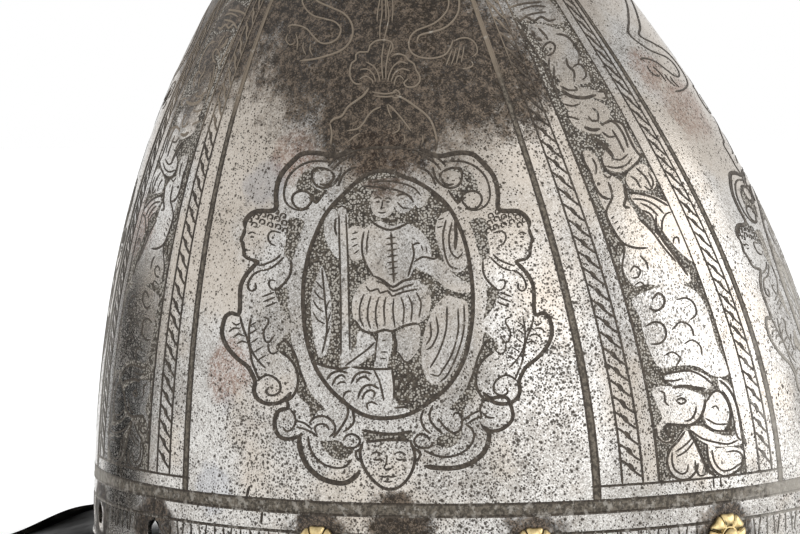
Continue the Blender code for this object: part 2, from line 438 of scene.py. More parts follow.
def etchedGroove(name, kind):
    # Matt brown patina in the etched lines; the ground is stippled with small light dots.
    look = grooveLook
    material, tree, shader = newMaterial(name)
    place = objectPlace(tree)
    mottle = ramp(tree, noise(tree, place, *look["mottle"]), *look["mottleRange"])
    color = mixColor(tree, mottle, *look[kind])
    if kind == "ground":
        cell = addNode(tree, "ShaderNodeTexVoronoi", Vector=place, Scale=look["dotScale"],
                       Randomness=look["dotRandom"])
        worn = ramp(tree, noise(tree, place, *look["dotWear"]), *look["dotWearRange"])
        away = weighted(tree, worn, look["dotShrink"], cell.outputs["Distance"])
        dots = math2(tree, "MULTIPLY", ramp(tree, away, *look["dotRange"]), look["dotShare"])
        color = mixColor(tree, dots, color, look["dot"])
    else:
        height = axisOf(tree, place, "Z")
        # Paler lines in the dark upper stains: tan patina with painted light on the groove walls.
        paleLineZone = math2(tree, "MULTIPLY", gather(tree, place, steelLook["stains"][:look["paleStains"]]),
                        ramp(tree, height, *look["paleAbove"]))
        color = mixColor(tree, ramp(tree, paleLineZone, *look["paleRange"]), color, look["paleLine"])
        bright = weighted(tree, ramp(tree, height, *look["brokenBelow"]), look["brokenByHeight"],
                          noise(tree, place, *look["worn"]))
        bright = math2(tree, "MULTIPLY", ramp(tree, bright, *look["brokenRange"]), look["brokenShare"])
        color = mixColor(tree, bright, color, look["dot"])
    aside = math2(tree, "ABSOLUTE", axisOf(tree, place, "Y"), 0.0)
    rubbed = weighted(tree, noise(tree, place, *look["rubbing"]), look["rubbedByNoise"], aside)
    rubbed = math2(tree, "MULTIPLY", ramp(tree, rubbed, *look["rubbedPast"]), look["rubbedShare"])
    color = mixColor(tree, rubbed, color, look["dot"])
    tree.links.new(color, shader.inputs["Base Color"])
    shader.inputs["Roughness"].default_value = look["roughness"]
    shader.inputs["Metallic"].default_value = look["metallic"]
    fineRelief(tree, shader, mottle, look["relief"])
    return material


brimLook = {
    "black": (0.012, 0.012, 0.012),
    "worn": (0.045, 0.042, 0.038),
    "tint": (0.14, 0.14, 0.14, 1),
    "wear": (90, 5, 0.65),
    "wearRange": (0.45, 0.80),
    "roughness": (0.16, 0.30),
    "bumps": (900, 3, 0.6),
    "relief": 0.12,
}


def blackSteel(name):
    # Blackened brim and inside: dark, smooth and a little glossy, with faint wear.
    look = brimLook
    material, tree, shader = newMaterial(name)
    place = objectPlace(tree)
    wear = ramp(tree, noise(tree, place, *look["wear"]), *look["wearRange"])
    color = mixColor(tree, wear, look["black"], look["worn"])
    tree.links.new(color, shader.inputs["Base Color"])
    tree.links.new(weighted(tree, wear, *look["roughness"]), shader.inputs["Roughness"])
    shader.inputs["Metallic"].default_value = 1.0
    shader.inputs["Specular Tint"].default_value = look["tint"]
    fineRelief(tree, shader, noise(tree, place, *look["bumps"]), look["relief"])
    return material


brassLook = {
    "light": (0.80, 0.64, 0.34),
    "dull": (0.58, 0.43, 0.20),
    "tarnish": (0.045, 0.030, 0.016),
    "mottle": (900, 4, 0.65),
    "mottleRange": (0.35, 0.70),
    "tarnishByMottle": 0.5,
    "tarnishRange": (0.58, 0.92),
    "roughness": (0.35, 0.30),
    "relief": 0.25,
}


def giltBrass(name):
    # Worn gilding with brown tarnish in the hollows, which each point of the rosette carries.
    look = brassLook
    material, tree, shader = newMaterial(name)
    hollow = addNode(tree, "ShaderNodeAttribute", {"attribute_name": "hollow"}).outputs["Fac"]
    mottle = noise(tree, objectPlace(tree), *look["mottle"])
    color = mixColor(tree, ramp(tree, mottle, *look["mottleRange"]), look["light"], look["dull"])
    darkening = ramp(tree, weighted(tree, mottle, look["tarnishByMottle"], hollow), *look["tarnishRange"])
    color = mixColor(tree, darkening, color, look["tarnish"])
    tree.links.new(color, shader.inputs["Base Color"])
    tree.links.new(weighted(tree, darkening, *look["roughness"]), shader.inputs["Roughness"])
    shader.inputs["Metallic"].default_value = 1.0
    fineRelief(tree, shader, mottle, look["relief"])
    return material


figureWear = 0.75  # share of the pits that the raised figures keep

steelFinish = etchedSteel("old_bright_steel", 1.0)
figureFinish = etchedSteel("etched_figure_steel", figureWear)
lineFinish = etchedGroove("etched_line_patina", "line")
stripFinish = etchedGroove("etched_strip_patina", "strip")
groundFinish = etchedGroove("stippled_ground", "ground")
brimFinish = blackSteel("blackened_steel")
brassFinish = giltBrass("worn_gilt_brass")
print("materials made")

rosette = {
    "count": 12,
    "start": np.radians(20),
    "lost": {9: np.radians(6.5), 10: np.radians(-1.2)},  # place: drift of its worn hole
    "wornHole": 0.0033,
    "heightOnBowl": 0.0015,
    "radius": 0.0072,
    "petals": 8,
    "petalDepth": 0.14,
    "seat": 0.0003,
    "thickness": 0.0007,
    "rise": 0.0012,
    "headRadius": 0.0029,
    "headHeight": 0.0020,
    "shank": 0.0015,
    "clenchRadius": 0.0030,
    "clenchThick": 0.0009,
    "innerGap": 0.0005,
    "tailDome": 0.0001,
    "sides": 96,
    "wallStep": 0.02,  # radians either side of a rivet, for the wall's direction
    "lobePower": 0.30,
    "lobeRipple": 0.05,
    "headRings": (0.08, 9),  # first ring's share, and the number of rings
    "petalRings": (0.02, 14),
    "neck": 1.03,  # petals start at this share of the head's radius
    "cupShare": 0.94,
    "cupPower": 0.7,
    "seamPower": 0.32,
    "seamRise": 3,
    "seamDepth": 0.9,
    "edgeDrop": 0.35,
    "lobeGrowth": 1.5,
    "clenchTaper": 0.85,
    "headHollow": (0.15, 0.75, 6),  # at the top, the rise towards the rim, and its power
    "cupHollow": (0.95, 2.4, 0.4),  # start, fall with the cup, and share outwards where it ends
    "seamHollow": (0.9, 1.5),
    "shankHollow": 0.5,
    "poleHollows": (0.1, 0.5),
}


def rivetPlace(place):
    # Centre on the bowl and three axes: along the wall, up, and outwards.
    angle = rosette["start"] + place * 2 * np.pi / rosette["count"] + rosette["lost"].get(place, 0)
    share = rosette["heightOnBowl"] / bowl["height"]
    step = rosette["wallStep"]
    near = bowlPoint(np.array([angle - step, angle, angle + step]), np.full(3, share))
    along = near[2] - near[0]
    normal = np.cross(along / np.linalg.norm(along), (0, 0, 1))
    normal /= np.linalg.norm(normal)
    if normal @ near[1] < 0:
        normal = -normal
    return near[1], np.array([np.cross((0, 0, 1), normal), (0, 0, 1), normal]), angle


shellGrid = {
    "columns": 336,
    "bowlRows": 118,
    "rowCrowding": 1.2,
    "filletRows": 7,
    "blackFrom": 3,  # fillet row at which the black of the brim starts
    "brimRows": 14,
    "beadSteps": 16,
    "insideEvery": 3,  # the inside keeps one row in three
    "measured": 40,  # column whose length sets the spacing of the map
    "mapMargin": 0.01,
}

# Reach of the dirt and painted shade round the rivets and along the foot, less towards the lit front.
dirtAndShadeReach = {
    "fadeOut": 0.0165,  # round a rivet
    "full": 0.0085,
    "baseFull": 0.0045,  # above and below the foot
    "baseFadeOut": 0.0120,
    "baseShare": 0.40,
    "frontFadeEnd": 0.095,
    "frontFade": 0.045,
    "frontShare": 0.1,
}


def edgeRing(angle):
    # Superellipse in plan; the edge rises a little between the ends and the sides.
    power = 2 / brim["squareness"]
    x = -(bowl["halfWidth"] + brim["overhangSides"]) * signedPower(np.cos(angle), power)
    y = -(bowl["halfLength"] + brim["overhangEnds"]) * signedPower(np.sin(angle), power)
    corner = np.clip((np.sin(2 * angle) ** 2 - brim["cornerStart"]) / brim["cornerSpan"], 0, 1)
    z = brim["beadBottom"] + brim["cornerRise"] * corner * corner * (3 - 2 * corner)
    return np.stack([x, y, z], axis=-1)


def skinRows(angle):
    # Outer skin downwards: bowl rings, a round fillet, then straight out to the bead.
    turn = np.sin(np.linspace(1, 0, shellGrid["bowlRows"]) * np.pi / 2) ** shellGrid["rowCrowding"]
    rows = list(bowlPoint(angle[None, :], bowl["plateTop"] * turn[:, None]))
    foot = bowlPoint(angle, 0 * angle)
    edge = edgeRing(angle)
    outward = (edge - foot) * (1, 1, 0)
    outward /= np.linalg.norm(outward, axis=1, keepdims=True)
    foot[:, 2] = brim["rootZ"] + brim["fillet"]
    for bend in np.linspace(0, brim["filletTurn"], shellGrid["filletRows"]):
        ring = foot + outward * brim["fillet"] * (1 - np.cos(bend))
        ring[:, 2] -= brim["fillet"] * np.sin(bend)
        rows.append(ring)
    start = rows[-1]
    rim = edge - outward * brim["beadRadius"] * (1 - np.cos(brim["beadTurn"]))
    rim[:, 2] = edge[:, 2] + brim["beadRadius"] * brim["beadJoin"]
    for share in np.linspace(0, 1, shellGrid["brimRows"] + 1)[1:]:
        rows.append(start + (rim - start) * share)
    return np.array(rows), outward, edge


def stalkRows(angle):
    # Round rings that lean back with height and spread into the bowl's top ring.
    top = bowlPoint(angle, np.full_like(angle, bowl["plateTop"]))
    base = top.mean(axis=0)
    circle = np.stack([-np.cos(angle), -np.sin(angle), 0 * angle], axis=-1)
    height = np.array(stalk["heights"])
    radius = np.array(stalk["radii"]) * stalk["radius"]
    fine = np.linspace(0, len(height) - 1, stalk["rings"])
    height = np.interp(fine, np.arange(len(height)), height)
    radius = np.interp(fine, np.arange(len(radius)), radius)
    lean = stalk["lean"] * height ** 2
    centre = base + np.stack([0 * height, lean, stalk["height"] * height], axis=-1)
    rings = centre[:, None, :] + circle[None] * radius[:, None, None]
    return rings[:-1]


def skullShell():
    # Closed rings downwards: stalk, outer skin, bead, then the inner skin back up, with two poles.
    columns = shellGrid["columns"]
    angle = np.arange(columns) * 2 * np.pi / columns
    outside, outward, edge = skinRows(angle)
    around = np.roll(outside, -1, axis=1) - np.roll(outside, 1, axis=1)
    normal = np.cross(np.gradient(outside, axis=0), around)
    normal /= np.linalg.norm(normal, axis=2, keepdims=True)
    middle = shellGrid["bowlRows"] // 2
    if np.sum(normal[middle] * (outside[middle] - (0, 0, bowl["foot"]))) < 0:
        normal = -normal
    inside = (outside - normal * bowl["wall"])[:-1][::-1]
    inside = np.concatenate([inside[:-1:shellGrid["insideEvery"]], inside[-1:]])
    steps = np.concatenate([
        np.linspace(brim["beadTurn"], -brim["beadFlat"], shellGrid["beadSteps"]),
        [brim["beadFlat"] - np.pi]])
    bead = (edge - outward * brim["beadRadius"])[None] + brim["beadRadius"] * (
        outward[None] * np.cos(steps)[:, None, None] + np.array([0, 0, 1.0]) * np.sin(steps)[:, None, None])
    upper = stalkRows(angle)
    rings = np.concatenate([upper, outside[:-1], bead, inside])
    count = len(rings)
    poles = np.array([
        bowlPoint(angle, np.full_like(angle, bowl["plateTop"])).mean(axis=0)
        + (0, stalk["lean"], stalk["height"]), rings[-1].mean(axis=0)])
    points = np.concatenate([rings.reshape(-1, 3), poles])
    row, column = np.meshgrid(np.arange(count - 1), np.arange(columns), indexing="ij")
    beside = (column + 1) % columns
    quads = np.stack([row * columns + column, (row + 1) * columns + column,
                      (row + 1) * columns + beside, row * columns + beside], axis=-1).reshape(-1, 4)
    j = np.arange(columns)
    k = (j + 1) % columns
    last = (count - 1) * columns
    topFan = np.stack([np.full(columns, count * columns), j, k], axis=-1)
    lowFan = np.stack([np.full(columns, count * columns + 1), last + k, last + j], axis=-1)
    path = np.linalg.norm(np.diff(rings[:, shellGrid["measured"]], axis=0), axis=1)
    margin = shellGrid["mapMargin"]
    v = np.concatenate([[0], np.cumsum(path)]) / path.sum() * (1 - 2 * margin) + margin
    quadUv = np.stack([
        np.stack([column, column, column + 1, column + 1], axis=-1) / columns,
        np.stack([v[row], v[row + 1], v[row + 1], v[row]], axis=-1)], axis=-1).reshape(-1, 2)
    fanUv = [np.stack([np.stack([j + 0.5, a, b], axis=-1) / columns,
                       np.tile(vs, (columns, 1))], axis=-1).reshape(-1, 2)
             for a, b, vs in ((j, j + 1, (0.0, v[0], v[0])), (j + 1, j, (1.0, v[-1], v[-1])))]
    firstBrim = len(upper) + shellGrid["bowlRows"] + shellGrid["blackFrom"]
    dark = (row >= firstBrim).reshape(-1)
    slots = np.concatenate([dark, np.zeros(columns), np.ones(columns)])
    piece = makeMesh("skull_steel", points, quads.tolist() + topFan.tolist() + lowFan.tolist(),
                     [steelFinish, brimFinish], slots, np.concatenate([quadUv] + fanUv))
    # Dirt and painted shade round the rivets and along the foot of the bowl.
    storePointValues(piece, "darkening", baseDirtAndShade(points))
    return piece


def storePointValues(piece, name, values):
    # One number for each point, which a material reads by its name.
    stored = piece.data.attributes.new(name, "FLOAT", "POINT")
    stored.data.foreach_set("value", values.astype(np.float32))


def baseDirtAndShade(points):
    # Darkening round each rivet place and along the foot of the bowl, less towards the lit front: dirt with
    # painted shade between the parts. 1 where full, fading outwards.
    reach = dirtAndShadeReach
    centres = np.array([rivetPlace(place)[0] for place in range(rosette["count"])])
    away = np.linalg.norm(points[:, None] - centres[None], axis=2).min(axis=1)
    around = np.clip((reach["fadeOut"] - away) / (reach["fadeOut"] - reach["full"]), 0, 1)
    height = np.abs(points[:, 2] - bowl["foot"])
    foot = np.clip((reach["baseFadeOut"] - height) / (reach["baseFadeOut"] - reach["baseFull"]), 0, 1)
    foot *= np.clip((points[:, 1] + reach["frontFadeEnd"]) / reach["frontFade"], reach["frontShare"], 1)
    return np.maximum(around, reach["baseShare"] * foot)


wornEdge = {"sides": 28, "depth": 8, "swell": (0.05, 0.03)}  # the depth is in walls


def cutWornHoles(piece):
    # Cuts through the wall where a rosette is lost. The cutter's radius swells with three and five
    # waves round it, so the hole is a little uneven.
    cutter = bmesh.new()
    for place in rosette["lost"]:
        centre, axes, _ = rivetPlace(place)
        turned = Matrix.Translation(Vector(centre)) @ Matrix(axes.T.tolist()).to_4x4()
        made = bmesh.ops.create_cone(cutter, cap_ends=True, segments=wornEdge["sides"],
                                     radius1=rosette["wornHole"], radius2=rosette["wornHole"],
                                     depth=wornEdge["depth"] * bowl["wall"], matrix=turned)
        for corner in made["verts"]:
            off = np.array(corner.co) - centre
            turn = np.arctan2(off @ axes[1], off @ axes[0])
            three, five = wornEdge["swell"]
            swell = 1 + three * np.sin(3 * turn + place) + five * np.sin(5 * turn)
            along = off @ axes[2] * axes[2]
            corner.co = Vector(centre + along + swell * (off - along))
    shape = bpy.data.meshes.new("worn_holes")
    cutter.to_mesh(shape)
    cutter.free()
    holes = bpy.data.objects.new("worn_holes", shape)
    bpy.context.scene.collection.objects.link(holes)
    cut = piece.modifiers.new("worn_holes", "BOOLEAN")
    cut.operation = "DIFFERENCE"
    cut.solver = "EXACT"
    cut.object = holes
    seen = piece.evaluated_get(bpy.context.evaluated_depsgraph_get())
    piece.data = bpy.data.meshes.new_from_object(seen)
    piece.data.name = piece.name
    piece.modifiers.clear()
    bpy.data.objects.remove(holes, do_unlink=True)


shell = skullShell()
cutWornHoles(shell)
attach(shell, "root")
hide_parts("skull")
print("bowl and brim made:", len(shell.data.polygons), "faces")

drawingUnits = {
    "perMetre": 3500.0,  # drawing units to a metre of the bowl's height
    "bandWide": 240.0,
    "step": 4.0,  # spacing of points along a drawn line
    "mesh": 9.0,  # spacing of points inside a drawn area
    "sunk": -0.00012,
    "groundLift": 0.00005,
    "figureLift": 0.00009,
    "lineLift": 0.00013,
    "grooveTilt": 0.45,
    "taper": (0.4, 1.5),  # a line's width at an open end, and widths along it until it is full
    "clearEdge": 0.4,  # of the mesh spacing, from an area's outline to its first inner point
    "mirrorSum": 774,  # a picture point's x and its mirror's x
    "copyHeight": 0.93,  # of the front and rear panels
    "mapStart": np.radians(70),
    "mapSpan": np.radians(400),
    "mapLow": 0.03,
    "mapTall": 0.94,
}

sightStart = {  # picture point of the foot's middle, and points to a radian and to the height
    "foot": (390, 548),
    "reach": (440, 800),
    "angles": (-1.0, 1.0),
    "shares": (0.005, 0.95),
    "steps": 22,
    "small": 1e-4,
    "mostTurn": 0.2,
    "mostRise": 0.1,
    "angleLimit": 1.35,
    "shareLimits": (1e-4, 0.975),
}

# Borders as angles in degrees: at the base, and what each loses with the share of height squared.
borders = {
    "panelRear": (-33.5, -8.94),
    "panelFront": (28.86, 10.03),
    "bandFront": (63.0, 19.57),
    "bandRear": (-67.5, -19.57),
}


def borderAngle(name, share):
    # Starts at the base angle and draws in with the square of the height.
    base, loss = borders[name]
    return np.radians(base - loss * share ** 2)


def sightToBowl(points):
    # Newton steps: the angle and share of height whose picture point is the one asked for.
    def seen(angle, share):
        reach = bowlPoint(angle, share) - sightLine["place"]
        scale = sightLine["focal"] / (reach @ sightLine["aim"])
        return np.stack([sightLine["pictureWide"] / 2 + scale * (reach @ sightLine["right"]),
                         sightLine["pictureHigh"] / 2 - scale * (reach @ sightLine["up"])], axis=-1)

    start = sightStart
    angle = np.clip((points[:, 0] - start["foot"][0]) / start["reach"][0], *start["angles"])
    share = np.clip((start["foot"][1] - points[:, 1]) / start["reach"][1], *start["shares"])
    small = start["small"]
    for _ in range(start["steps"]):
        here = seen(angle, share)
        byAngle = (seen(angle + small, share) - here) / small
        byShare = (seen(angle, share + small) - here) / small
        miss = points - here
        size = byAngle[:, 0] * byShare[:, 1] - byAngle[:, 1] * byShare[:, 0]
        turn = (miss[:, 0] * byShare[:, 1] - miss[:, 1] * byShare[:, 0]) / size
        rise = (byAngle[:, 0] * miss[:, 1] - byAngle[:, 1] * miss[:, 0]) / size
        turn = np.clip(turn, -start["mostTurn"], start["mostTurn"])
        rise = np.clip(rise, -start["mostRise"], start["mostRise"])
        angle = np.clip(angle + turn, -start["angleLimit"], start["angleLimit"])
        share = np.clip(share + rise, *start["shareLimits"])
    return angle, share


def smoothThrough(points, closed=False):
    # Catmull-Rom: each span is a cubic whose end slopes come from the points on either side.
    p = np.asarray(points, float)
    if closed:
        p = np.concatenate([p[-1:], p, p[:2]])
    else:
        p = np.concatenate([2 * p[:1] - p[1:2], p, 2 * p[-1:] - p[-2:-1]])
    pieces = []
    for a, b, c, d in zip(p, p[1:], p[2:], p[3:]):
        count = max(2, int(np.ceil(np.linalg.norm(c - b) / drawingUnits["step"])))
        t = (np.arange(count) / count)[:, None]
        pieces.append(0.5 * (2 * b + (c - a) * t + (2 * a - 5 * b + 4 * c - d) * t ** 2
                             + (3 * b - a - 3 * c + d) * t ** 3))
    if not closed:
        pieces.append(p[-2][None])
    return np.concatenate(pieces)


def strokeSlab(points, width, closed=False):
    # Four rails along a smooth line: low and high on each side, narrowing at open ends.
    line = smoothThrough(points, closed)
    if closed:
        ahead = np.roll(line, -1, axis=0) - np.roll(line, 1, axis=0)
    else:
        ahead = np.gradient(line, axis=0)
    ahead /= np.maximum(np.linalg.norm(ahead, axis=1, keepdims=True), 1e-6)
    across = np.stack([ahead[:, 1], -ahead[:, 0]], axis=-1)
    share = np.linspace(0, 1, len(line))
    near = np.minimum(share, 1 - share) * len(line) * drawingUnits["step"]
    end, widths = drawingUnits["taper"]
    half = width / 2 * (1 if closed else end + (1 - end) * np.clip(near / (widths * width), 0, 1)[:, None])
    rails = np.stack([line - across * half, line - across * half,
                      line + across * half, line + across * half], axis=1)
    count = len(line)
    i = np.arange(count if closed else count - 1)
    j = (i + 1) % count
    faces = [np.stack([4 * i + a, 4 * j + a, 4 * j + b, 4 * i + b], axis=-1)
             for a, b in ((1, 2), (0, 1), (2, 3), (3, 0))]
    if not closed:
        faces.append(np.array([[0, 1, 2, 3], 4 * count - np.arange(1, 5)]))
    return rails.reshape(-1, 2), np.tile([0, 1, 1, 0], count), np.concatenate(faces).tolist()


def insideOutline(points, outline):
    # A point is inside where a line from it crosses the outline an odd number of times.
    a, b = outline, np.roll(outline, -1, axis=0)
    x, y = points[:, :1], points[:, 1:]
    spans = (a[:, 1] > y) != (b[:, 1] > y)
    rise = np.where(np.abs(b[:, 1] - a[:, 1]) < 1e-9, 1e-9, b[:, 1] - a[:, 1])
    cross = a[:, 0] + (y - a[:, 1]) * (b[:, 0] - a[:, 0]) / rise
    return (np.sum(spans & (x < cross), axis=1) % 2) == 1


def areaSlab(outline, spacing=None, smooth=True):
    # A flat area cut into triangles with points inside, then given a top, a bottom and an edge.
    ring = smoothThrough(outline, True) if smooth else np.asarray(outline, float)
    spacing = spacing or drawingUnits["mesh"]
    low, high = ring.min(axis=0), ring.max(axis=0)
    grid = np.stack(np.meshgrid(np.arange(low[0], high[0], spacing) + spacing / 2,
                                np.arange(low[1], high[1], spacing) + spacing / 2), axis=-1)
    grid = grid.reshape(-1, 2)
    if len(grid):
        grid = grid[insideOutline(grid, ring)]
    if len(grid):
        gap = np.sqrt(((grid[:, None] - ring[None]) ** 2).sum(axis=2)).min(axis=1)
        grid = grid[gap > spacing * drawingUnits["clearEdge"]]
    cut = delaunay_2d_cdt([Vector(p) for p in np.concatenate([ring, grid])], [],
                          [list(range(len(ring)))], 1, 1e-4)
    flat = np.array([tuple(p) for p in cut[0]])
    faces = np.array(cut[2])
    count = len(flat)
    edges = np.concatenate([faces[:, [0, 1]], faces[:, [1, 2]], faces[:, [2, 0]]])
    rim = edges[~np.isin(edges[:, 0] * count + edges[:, 1], edges[:, 1] * count + edges[:, 0])]
    walls = np.stack([rim[:, 1], rim[:, 0], rim[:, 0] + count, rim[:, 1] + count], axis=-1)
    return (np.concatenate([flat, flat]), np.repeat([1, 0], count),
            faces.tolist() + (faces[:, ::-1] + count).tolist() + walls.tolist())


def gatherMarks(marks):
    # Joins many slabs into one set of arrays, and notes where each one's points start.
    points, tops, faces, start = [], [], [], 0
    for flat, top, cells in marks:
        points.append(flat)
        tops.append(top)
        faces.extend([[corner + start for corner in cell] for cell in cells])
        start += len(flat)
    return np.concatenate(points), np.concatenate(tops), faces


def mirrored(points):
    # The same picture points on the other side of the right panel's middle line.
    return [(drawingUnits["mirrorSum"] - x, y) for x, y in points]


# Each layer holds marks as their top flags, faces, angles and shares.
etched = {"lines": [], "borders": [], "ground": [], "strips": [], "figures": []}


def layOnBowl(layer, marks, place):
    # Puts a set of marks on the bowl; place turns the marks' own points into angle and share.
    flat, top, faces = gatherMarks(marks)
    for angle, share in place(flat):
        etched[layer].append((top, faces, angle, share))


def buildEtching(layer, material, lift):
    # Points stand off the bowl along its normal: tops by the lift, bottoms sunk below the skin.
    # Lines have their normals tilted inwards, so that they shade like grooves.
    units = drawingUnits
    points, normals, faces, corners, start = [], [], [], [], 0
    for top, cells, angle, share in etched[layer]:
        normal = bowlNormal(angle, share)
        off = np.where(top == 1, lift, units["sunk"])[:, None]
        placed = bowlPoint(angle, share) + normal * off
        if layer in ("lines", "borders"):
            rails = placed.reshape(-1, 4, 3)
            over = rails[:, 2] - rails[:, 1]
            over /= np.maximum(np.linalg.norm(over, axis=1, keepdims=True), 1e-9)
            tilt = units["grooveTilt"] * np.stack([over, over, -over, -over], axis=1)
            shading = normal + tilt.reshape(-1, 3)
        else:
            shading = normal
        shading = shading / np.linalg.norm(shading, axis=1, keepdims=True)
        first = np.array(cells[0])
        facing = np.cross(placed[first[1]] - placed[first[0]], placed[first[2]] - placed[first[0]])
        if facing @ normal[first[0]] < 0:
            cells = [cell[::-1] for cell in cells]
        points.append(placed)
        normals.append(shading)
        faces.extend([[corner + start for corner in cell] for cell in cells])
        corners.append(np.stack([(angle + units["mapStart"]) / units["mapSpan"],
                                 units["mapLow"] + units["mapTall"] * share], axis=-1))
        start += len(placed)
    corners = np.concatenate(corners)
    order = np.concatenate([np.array(cell) for cell in faces])
    piece = makeMesh("etched_" + layer, np.concatenate(points), faces, [material],
                     uv=corners[order], normals=np.concatenate(normals))
    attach(piece, "root")
    triangles = sum(len(cell) - 2 for cell in faces)
    print("etched", layer, triangles, "triangles")


def panelPlaces(flat):
    # Right panel as drawn, its mirror on the left, and narrower copies over the front and rear keels.
    angle, share = sightToBowl(flat)
    rear, front = borderAngle("panelRear", share), borderAngle("panelFront", share)
    across = (angle - (rear + front) / 2) / ((front - rear) / 2)
    yield angle, share
    yield np.pi - angle, share
    for border, middle in (("bandFront", 0.5 * np.pi), ("bandRear", 1.5 * np.pi)):
        lower = share * drawingUnits["copyHeight"]
        half = np.pi / 2 - np.abs(borderAngle(border, lower))
        yield middle + half * signedPower(across, 1 / bowl["keel"]), lower


def bandPlaces(flat):
    # Right front band as drawn, and its three mirrors.
    angle, share = sightToBowl(flat)
    near, far = borderAngle("panelFront", share), borderAngle("bandFront", share)
    yield from fourBands((angle - near) / (far - near), share)


def fourBands(across, share):
    # A share across a band becomes an angle on each band: front right, rear right and their mirrors.
    near, far = borderAngle("panelFront", share), borderAngle("bandFront", share)
    rearNear, rearFar = borderAngle("panelRear", share), borderAngle("bandRear", share)
    front = near + across * (far - near)
    rear = rearNear + across * (rearFar - rearNear)
    yield front, share
    yield rear, share
    yield np.pi - front, share
    yield np.pi - rear, share


def ropePlaces(flat):
    # Band sheet: x is the share across, y the height, so each mirrored rope is drawn turned over.
    yield from fourBands(flat[:, 0] / drawingUnits["bandWide"],
                         flat[:, 1] / drawingUnits["perMetre"] / bowl["height"])


def ringPlaces(flat):
    # Base sheet: x is degrees round the bowl times ten, y the height.
    yield np.radians(flat[:, 0] / 10), flat[:, 1] / drawingUnits["perMetre"] / bowl["height"]


millimetre = drawingUnits["perMetre"] / 1000

bandBorders = {  # shares across a band, heights in millimetres, widths in drawing units
    "top": 0.935,
    "foot": 19.3,
    "stripFoot": 15.3,
    "rows": 60,
    "ropes": ((0.116, 0.210), (0.845, 0.935)),
    "ropeLine": 2.3,
    "fieldLines": (0.285, 0.755),
    "fieldLine": 2.6,
    "fieldRows": 84,
    "fieldSpacing": 10,
    "strips": (0.004, 0.996),
    "stripHalf": 0.014,
    "stripLineAt": 0.0145,
    "stripLine": 1.8,
    "stripSpacing": 14,
    "ropePitch": 16.0,
    "ropeDrop": 19.0,
    "ropeEnds": 16,
    "strand": ((0, 0.50), (0.30, 0.24), (0.66, -0.20), (1, -0.50)),  # across, and of the drop
    "strandLine": 2.3,
    "lensAt": (0.48, 0.05),
    "lens": ((-0.12, 4.4), (0, 0.4), (0.10, -3.6)),
    "lensLine": 5.4,
    "footEnds": (-0.02, 0.5, 1.02),
    "footLine": 2.4,
    "ticks": (0.56, 0.60),
    "tickHeights": (19.0, 16.2),
    "tickLine": 1.8,
}

baseBorders = {  # heights in millimetres, places round the bowl in tenths of a degree
    "round": (-700, 2901, 25.0),
    "lines": ((15.3, 2.2), (11.8, 2.6), (6.3, 3.0)),  # height and width
    "strip": (11.9, 15.2),
    "stripSpacing": 12,
    "hatchRound": (-690, 2890, 16.0),
    "hatchHeights": (5.9, 0.2),
    "hatchLeans": (5, -5, 1),
    "hatchLine": 2.4,
    "holeGap": 2.6,  # degrees each side of a worn hole without hatching
}


def bandTop():
    # Where the borders end, on the band's sheet.
    return bandBorders["top"] * bowl["height"] * drawingUnits["perMetre"]


def bandSheetMarks():
    # Ropes' edges, field lines and edge strips of one band, on its own sheet.
    b = bandBorders
    wide = drawingUnits["bandWide"]
    heights = np.linspace(b["foot"] * millimetre, bandTop(), b["rows"])
    stripHeights = np.linspace(b["stripFoot"] * millimetre, bandTop(), b["rows"])
    lines, strips = [], []

    def upright(share, width, along=heights):
        lines.append(strokeSlab(np.stack([share * wide + 0 * along, along], axis=-1), width))

    for share in b["fieldLines"]:
        upright(share, b["fieldLine"])
    for left, right in b["ropes"]:
        upright(left, b["ropeLine"])
        upright(right, b["ropeLine"])
    for middle in b["strips"]:
        upright(middle - b["stripLineAt"], b["stripLine"], stripHeights)
        upright(middle + b["stripLineAt"], b["stripLine"], stripHeights)
        edge = [((middle - b["stripHalf"]) * wide, y) for y in stripHeights]
        back = [((middle + b["stripHalf"]) * wide, y) for y in stripHeights[::-1]]
        strips.append(areaSlab(edge + back, b["stripSpacing"], smooth=False))
    return lines, strips


def ropeMarks(slant):
    # Strands slope across each rope, with a dark lens between each two.
    b = bandBorders
    wide = drawingUnits["bandWide"]
    drop = b["ropeDrop"]
    marks = []
    for left, right in b["ropes"]:
        x0, x1 = left * wide, right * wide
        x0, x1 = (x0, x1) if slant > 0 else (x1, x0)
        for y in np.arange(b["foot"] * millimetre + b["ropeEnds"], bandTop() - b["ropeEnds"], b["ropePitch"]):
            strand = [(x0 + across * (x1 - x0), y + down * drop) for across, down in b["strand"]]
            marks.append(strokeSlab(strand, b["strandLine"]))
            xm, ym = x0 + b["lensAt"][0] * (x1 - x0), y + b["lensAt"][1] * drop
            lens = [(xm + across * (x1 - x0), ym + up) for across, up in b["lens"]]
            marks.append(strokeSlab(lens, b["lensLine"]))
    return marks


# Drawn marks, in picture points of the sight line: strokes as (width, points), areas as outlines.
ovalEdge = [(380, 171), (392, 172), (404, 177), (417, 182), (430, 190), (441, 199), (450, 209), (457, 222),
            (463, 236), (467, 250), (470, 266), (472, 282), (473, 302), (472, 322), (469, 341), (465, 357),
            (458, 372), (450, 384), (440, 394), (428, 403), (416, 411), (403, 416), (390, 418), (377, 418),
            (364, 415), (353, 409), (343, 401), (333, 392), (324, 381), (316, 368), (310, 352), (306, 336),
            (304, 318), (303, 300), (304, 279), (307, 262), (311, 247), (317, 232), (324, 217), (333, 205),
            (342, 196), (350, 188), (359, 180), (369, 174)]

